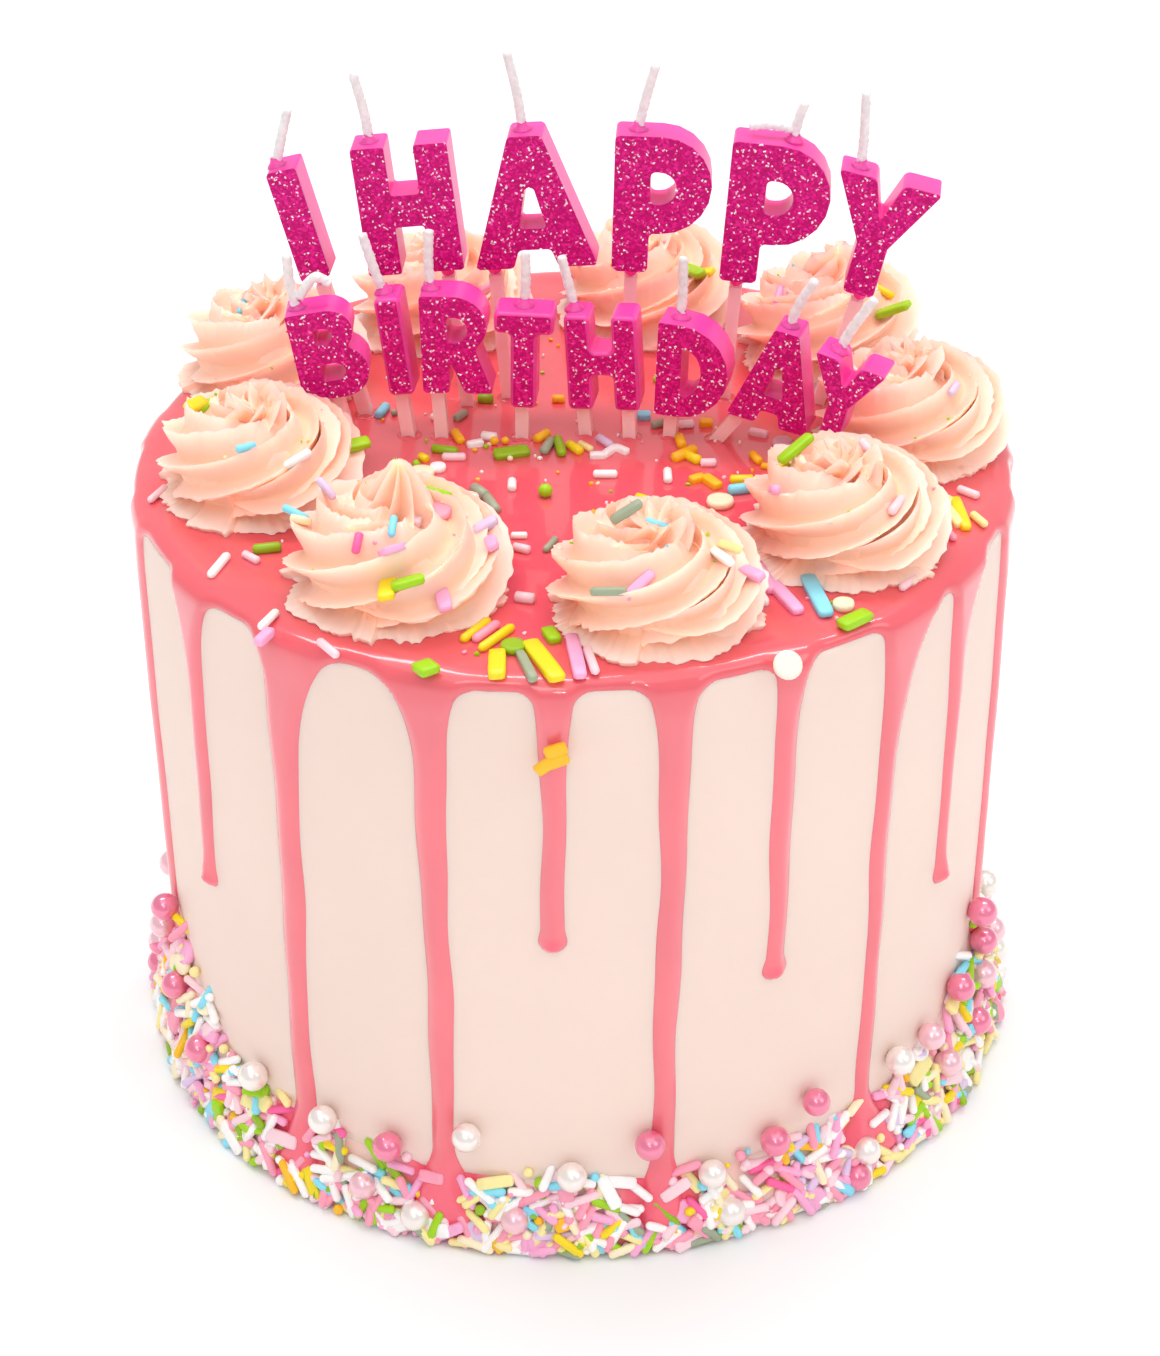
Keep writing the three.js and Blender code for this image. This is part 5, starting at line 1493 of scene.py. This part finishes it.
def all_sprinkles(sizes):
    rng = np.random.default_rng(2024)
    scatter = Scatter()
    scatter_heap(scatter, rng)
    scatter_pearls(scatter, rng)
    scatter_top(scatter, rng, sizes.rod_length / MM)
    scatter_rosettes(scatter, rng)
    satin = shared_material(sugar_material, "Sugar satin", roughness=0.38)
    gloss = shared_material(sugar_material, "Sugar pearl", roughness=0.32, coat=1.0, coat_ior=2.0,
                            metallic=0.35)
    values = {
        "rods": {"Length": sizes.rod_length, "Width": sizes.rod_width, "Material": satin},
        "bars": {"Length": BAR_LENGTH * MM, "Width": BAR_WIDTH * MM, "Thickness": BAR_THICKNESS * MM,
                 "Material": satin},
        "discs": {"Width": sizes.disc_width, "Thickness": DISC_THICKNESS * MM, "Material": satin},
        "pearls": {"Width": sizes.pearl_width, "Material": gloss},
        "balls": {"Width": BALL_WIDTH * MM, "Material": satin},
        "crumbs": {"Width": CRUMB_WIDTH * MM, "Material": satin},
    }
    for kind, spots in scatter.kinds.items():
        scatter_piece(kind, spots, values[kind])


# The bank at the foot: share of the heap's height, and how far it stands out of the cake.
BANK_PROFILE = ((0.0, -2.0), (0.0, 3.9), (0.2, 3.6), (0.45, 2.4), (0.7, 1.2), (0.92, 0.25), (1.0, -1.0))


def heap_core(colours):
    """The low bank of glaze and frosting that the sprinkles at the foot are pressed into."""
    columns = 240
    off_floor = 0.3
    angle = np.arange(columns) * TAU / columns
    top = np.array([band_top(a) for a in angle])
    rows = []
    for share, out in BANK_PROFILE:
        uneven = (0.25 * np.sin(37 * angle) + 0.2 * np.sin(61 * angle + 3 * share)) * (out > 0)
        radius = CAKE_RADIUS + out + uneven
        rows.append(np.stack([radius * np.cos(angle), radius * np.sin(angle), off_floor + share * top], -1))
    points = np.vstack(rows)
    made = piece("sprinkle_bank", points, ring_faces(len(rows), columns), foot_material(colours), "frosting")
    near = np.array([drip_foot_distance(math.atan2(y, x)) for x, y, _ in points])
    mark_points(made.data, "gathered", 1 - smoothstep(near, 5, 12))


# The stage.

# Suns: name, azimuth, elevation, strength, and apparent width in degrees.
SUNS = (
    ("Front light", -105, 50, 0.28, 20), ("Catch light", -92, 34, 0.14, 5), ("Right fill", -30, 40, 0.35, 30),
    ("Top light", -90, 84, 0.7, 60),
)
FLOOR_REACH = 40
FLOOR_WHITE = (0.95, 0.965, 0.97, 1)
# How bright the studio's walls are as light on the cake, and how bright they look themselves.
WALL_LIGHT = 0.6
WALL_WHITE = 1.0
# The camera: focal length in millimetres, place in metres, how far it looks down and leans, in degrees.
CAMERA_LENS = 78.76
CAMERA_PLACE = (0.000899, -0.48299, 0.37459)
CAMERA_DOWN = 32.215
CAMERA_LEAN = -0.479


def floor_and_walls():
    scene = bpy.context.scene
    scene.view_settings.view_transform = "Standard"
    mesh = bpy.data.meshes.new("floor")
    mesh.from_pydata([(-FLOOR_REACH, -FLOOR_REACH, 0), (FLOOR_REACH, -FLOOR_REACH, 0),
                      (FLOOR_REACH, FLOOR_REACH, 0), (-FLOOR_REACH, FLOOR_REACH, 0)], [], [(0, 1, 2, 3)])
    floor = bpy.data.objects.new("floor", mesh)
    scene.collection.objects.link(floor)
    mesh.materials.append(new_material("White floor", Roughness=0.9, Base_Color=FLOOR_WHITE,
                                       Specular_IOR_Level=0.1)[0])
    world = bpy.data.worlds.new("Studio")
    world.use_nodes = True
    tree = world.node_tree
    background = tree.nodes["Background"]
    background.inputs["Color"].default_value = (1, 1, 1, 1)
    seen = node(tree, "ShaderNodeLightPath").outputs["Is Camera Ray"]
    strength = node(tree, "ShaderNodeMapRange", {"Value": seen, "To Min": WALL_LIGHT, "To Max": WALL_WHITE})
    tree.links.new(strength.outputs[0], background.inputs["Strength"])
    scene.world = world


def studio_lights():
    for name, azimuth, elevation, strength, width in SUNS:
        sun = bpy.data.lights.new(name, "SUN")
        sun.energy = strength
        sun.angle = math.radians(width)
        aimed_light(name, sun, azimuth, elevation, distance=1.0)
    strip = bpy.data.lights.new("Strip light", "AREA")
    strip.shape = "RECTANGLE"
    strip.size, strip.size_y = 1.3, 0.16
    strip.energy = 6.5
    aimed_light("Strip light", strip, azimuth=95, elevation=72, distance=1.15)


def aimed_light(name, data, azimuth, elevation, distance):
    """A light in a direction from the middle of the cake, turned towards it."""
    light = bpy.data.objects.new(name, data)
    bpy.context.scene.collection.objects.link(light)
    a, e = math.radians(azimuth), math.radians(elevation)
    towards = Vector((math.cos(a) * math.cos(e), math.sin(a) * math.cos(e), math.sin(e)))
    middle = Vector((0, 0, 0.1))
    light.location = towards * distance + middle
    light.rotation_euler = towards.to_track_quat("Z", "Y").to_euler()


def studio_camera():
    data = bpy.data.cameras.new("Camera")
    data.lens = CAMERA_LENS
    data.sensor_width = 36
    camera = bpy.data.objects.new("Camera", data)
    bpy.context.scene.collection.objects.link(camera)
    tilt = Matrix.Rotation(math.radians(90 - CAMERA_DOWN), 4, "X")
    lean = Matrix.Rotation(math.radians(CAMERA_LEAN), 4, "Z")
    camera.matrix_world = Matrix.Translation(CAMERA_PLACE) @ tilt @ lean
    bpy.context.scene.camera = camera


# The add-on.

class CakeOperator:
    """Shared by the operators that make the cake's pieces."""
    bl_options = {"REGISTER", "UNDO"}

    def execute(self, context):
        self.make(context.scene.cake_colours, context.scene.cake_sizes)
        return {"FINISHED"}


class CAKE_OT_frosting(CakeOperator, bpy.types.Operator):
    """Make the frosted body of the cake"""
    bl_idname = "cake.frosting"
    bl_label = "Frosting"

    def make(self, colours, sizes):
        frosted_body(colours)
        heap_core(colours)


class CAKE_OT_glaze(CakeOperator, bpy.types.Operator):
    """Pour the glaze with its drips"""
    bl_idname = "cake.glaze"
    bl_label = "Glaze and drips"

    def make(self, colours, sizes):
        glaze_shell(colours, sizes)


class CAKE_OT_rosettes(CakeOperator, bpy.types.Operator):
    """Pipe the rosettes round the top"""
    bl_idname = "cake.rosettes"
    bl_label = "Rosettes"

    def make(self, colours, sizes):
        all_rosettes(colours, sizes)


class CAKE_OT_letters(CakeOperator, bpy.types.Operator):
    """Round the letter candles and coat their fronts with glitter"""
    bl_idname = "cake.letters"
    bl_label = "Letter candles"

    def make(self, colours, sizes):
        wax_letters(colours)
        wax_collars(colours)
        glitter_fronts(colours, sizes)


class CAKE_OT_wicks(CakeOperator, bpy.types.Operator):
    """Twist the wicks"""
    bl_idname = "cake.wicks"
    bl_label = "Wicks"

    def make(self, colours, sizes):
        all_wicks(sizes)


class CAKE_OT_picks(CakeOperator, bpy.types.Operator):
    """Finish the picks and the glaze round their feet"""
    bl_idname = "cake.picks"
    bl_label = "Picks"

    def make(self, colours, sizes):
        dress_picks(colours)


class CAKE_OT_sprinkles(CakeOperator, bpy.types.Operator):
    """Scatter the sprinkles at the foot, on the glaze and on the rosettes"""
    bl_idname = "cake.sprinkles"
    bl_label = "Sprinkles"

    def make(self, colours, sizes):
        all_sprinkles(sizes)


class CAKE_OT_stage(CakeOperator, bpy.types.Operator):
    """Set the floor, the lights and the camera"""
    bl_idname = "cake.stage"
    bl_label = "Stage"

    def make(self, colours, sizes):
        floor_and_walls()
        studio_lights()
        studio_camera()


OPERATORS = (CAKE_OT_frosting, CAKE_OT_glaze, CAKE_OT_rosettes, CAKE_OT_letters, CAKE_OT_wicks, CAKE_OT_picks,
             CAKE_OT_sprinkles, CAKE_OT_stage)


class CAKE_PT_panel(bpy.types.Panel):
    """Sizes, colours and pieces of the cake."""
    bl_idname = "CAKE_PT_panel"
    bl_label = "Drip cake"
    bl_space_type = "VIEW_3D"
    bl_region_type = "UI"
    bl_category = "Cake"

    def draw(self, context):
        for group in (context.scene.cake_sizes, context.scene.cake_colours):
            box = self.layout.box()
            for name in group.__annotations__:
                box.prop(group, name)
        for operator in OPERATORS:
            self.layout.operator(operator.bl_idname)


CLASSES = (CakeSizes, CakeColours) + OPERATORS + (CAKE_PT_panel,)


def register():
    for item in CLASSES:
        bpy.utils.register_class(item)
    bpy.types.Scene.cake_sizes = bpy.props.PointerProperty(type=CakeSizes)
    bpy.types.Scene.cake_colours = bpy.props.PointerProperty(type=CakeColours)


def unregister():
    del bpy.types.Scene.cake_colours
    del bpy.types.Scene.cake_sizes
    for item in reversed(CLASSES):
        bpy.utils.unregister_class(item)


def main():
    register()
    for operator in OPERATORS:
        family, name = operator.bl_idname.split(".")
        getattr(getattr(bpy.ops, family), name)()


if __name__ == "__main__":
    main()
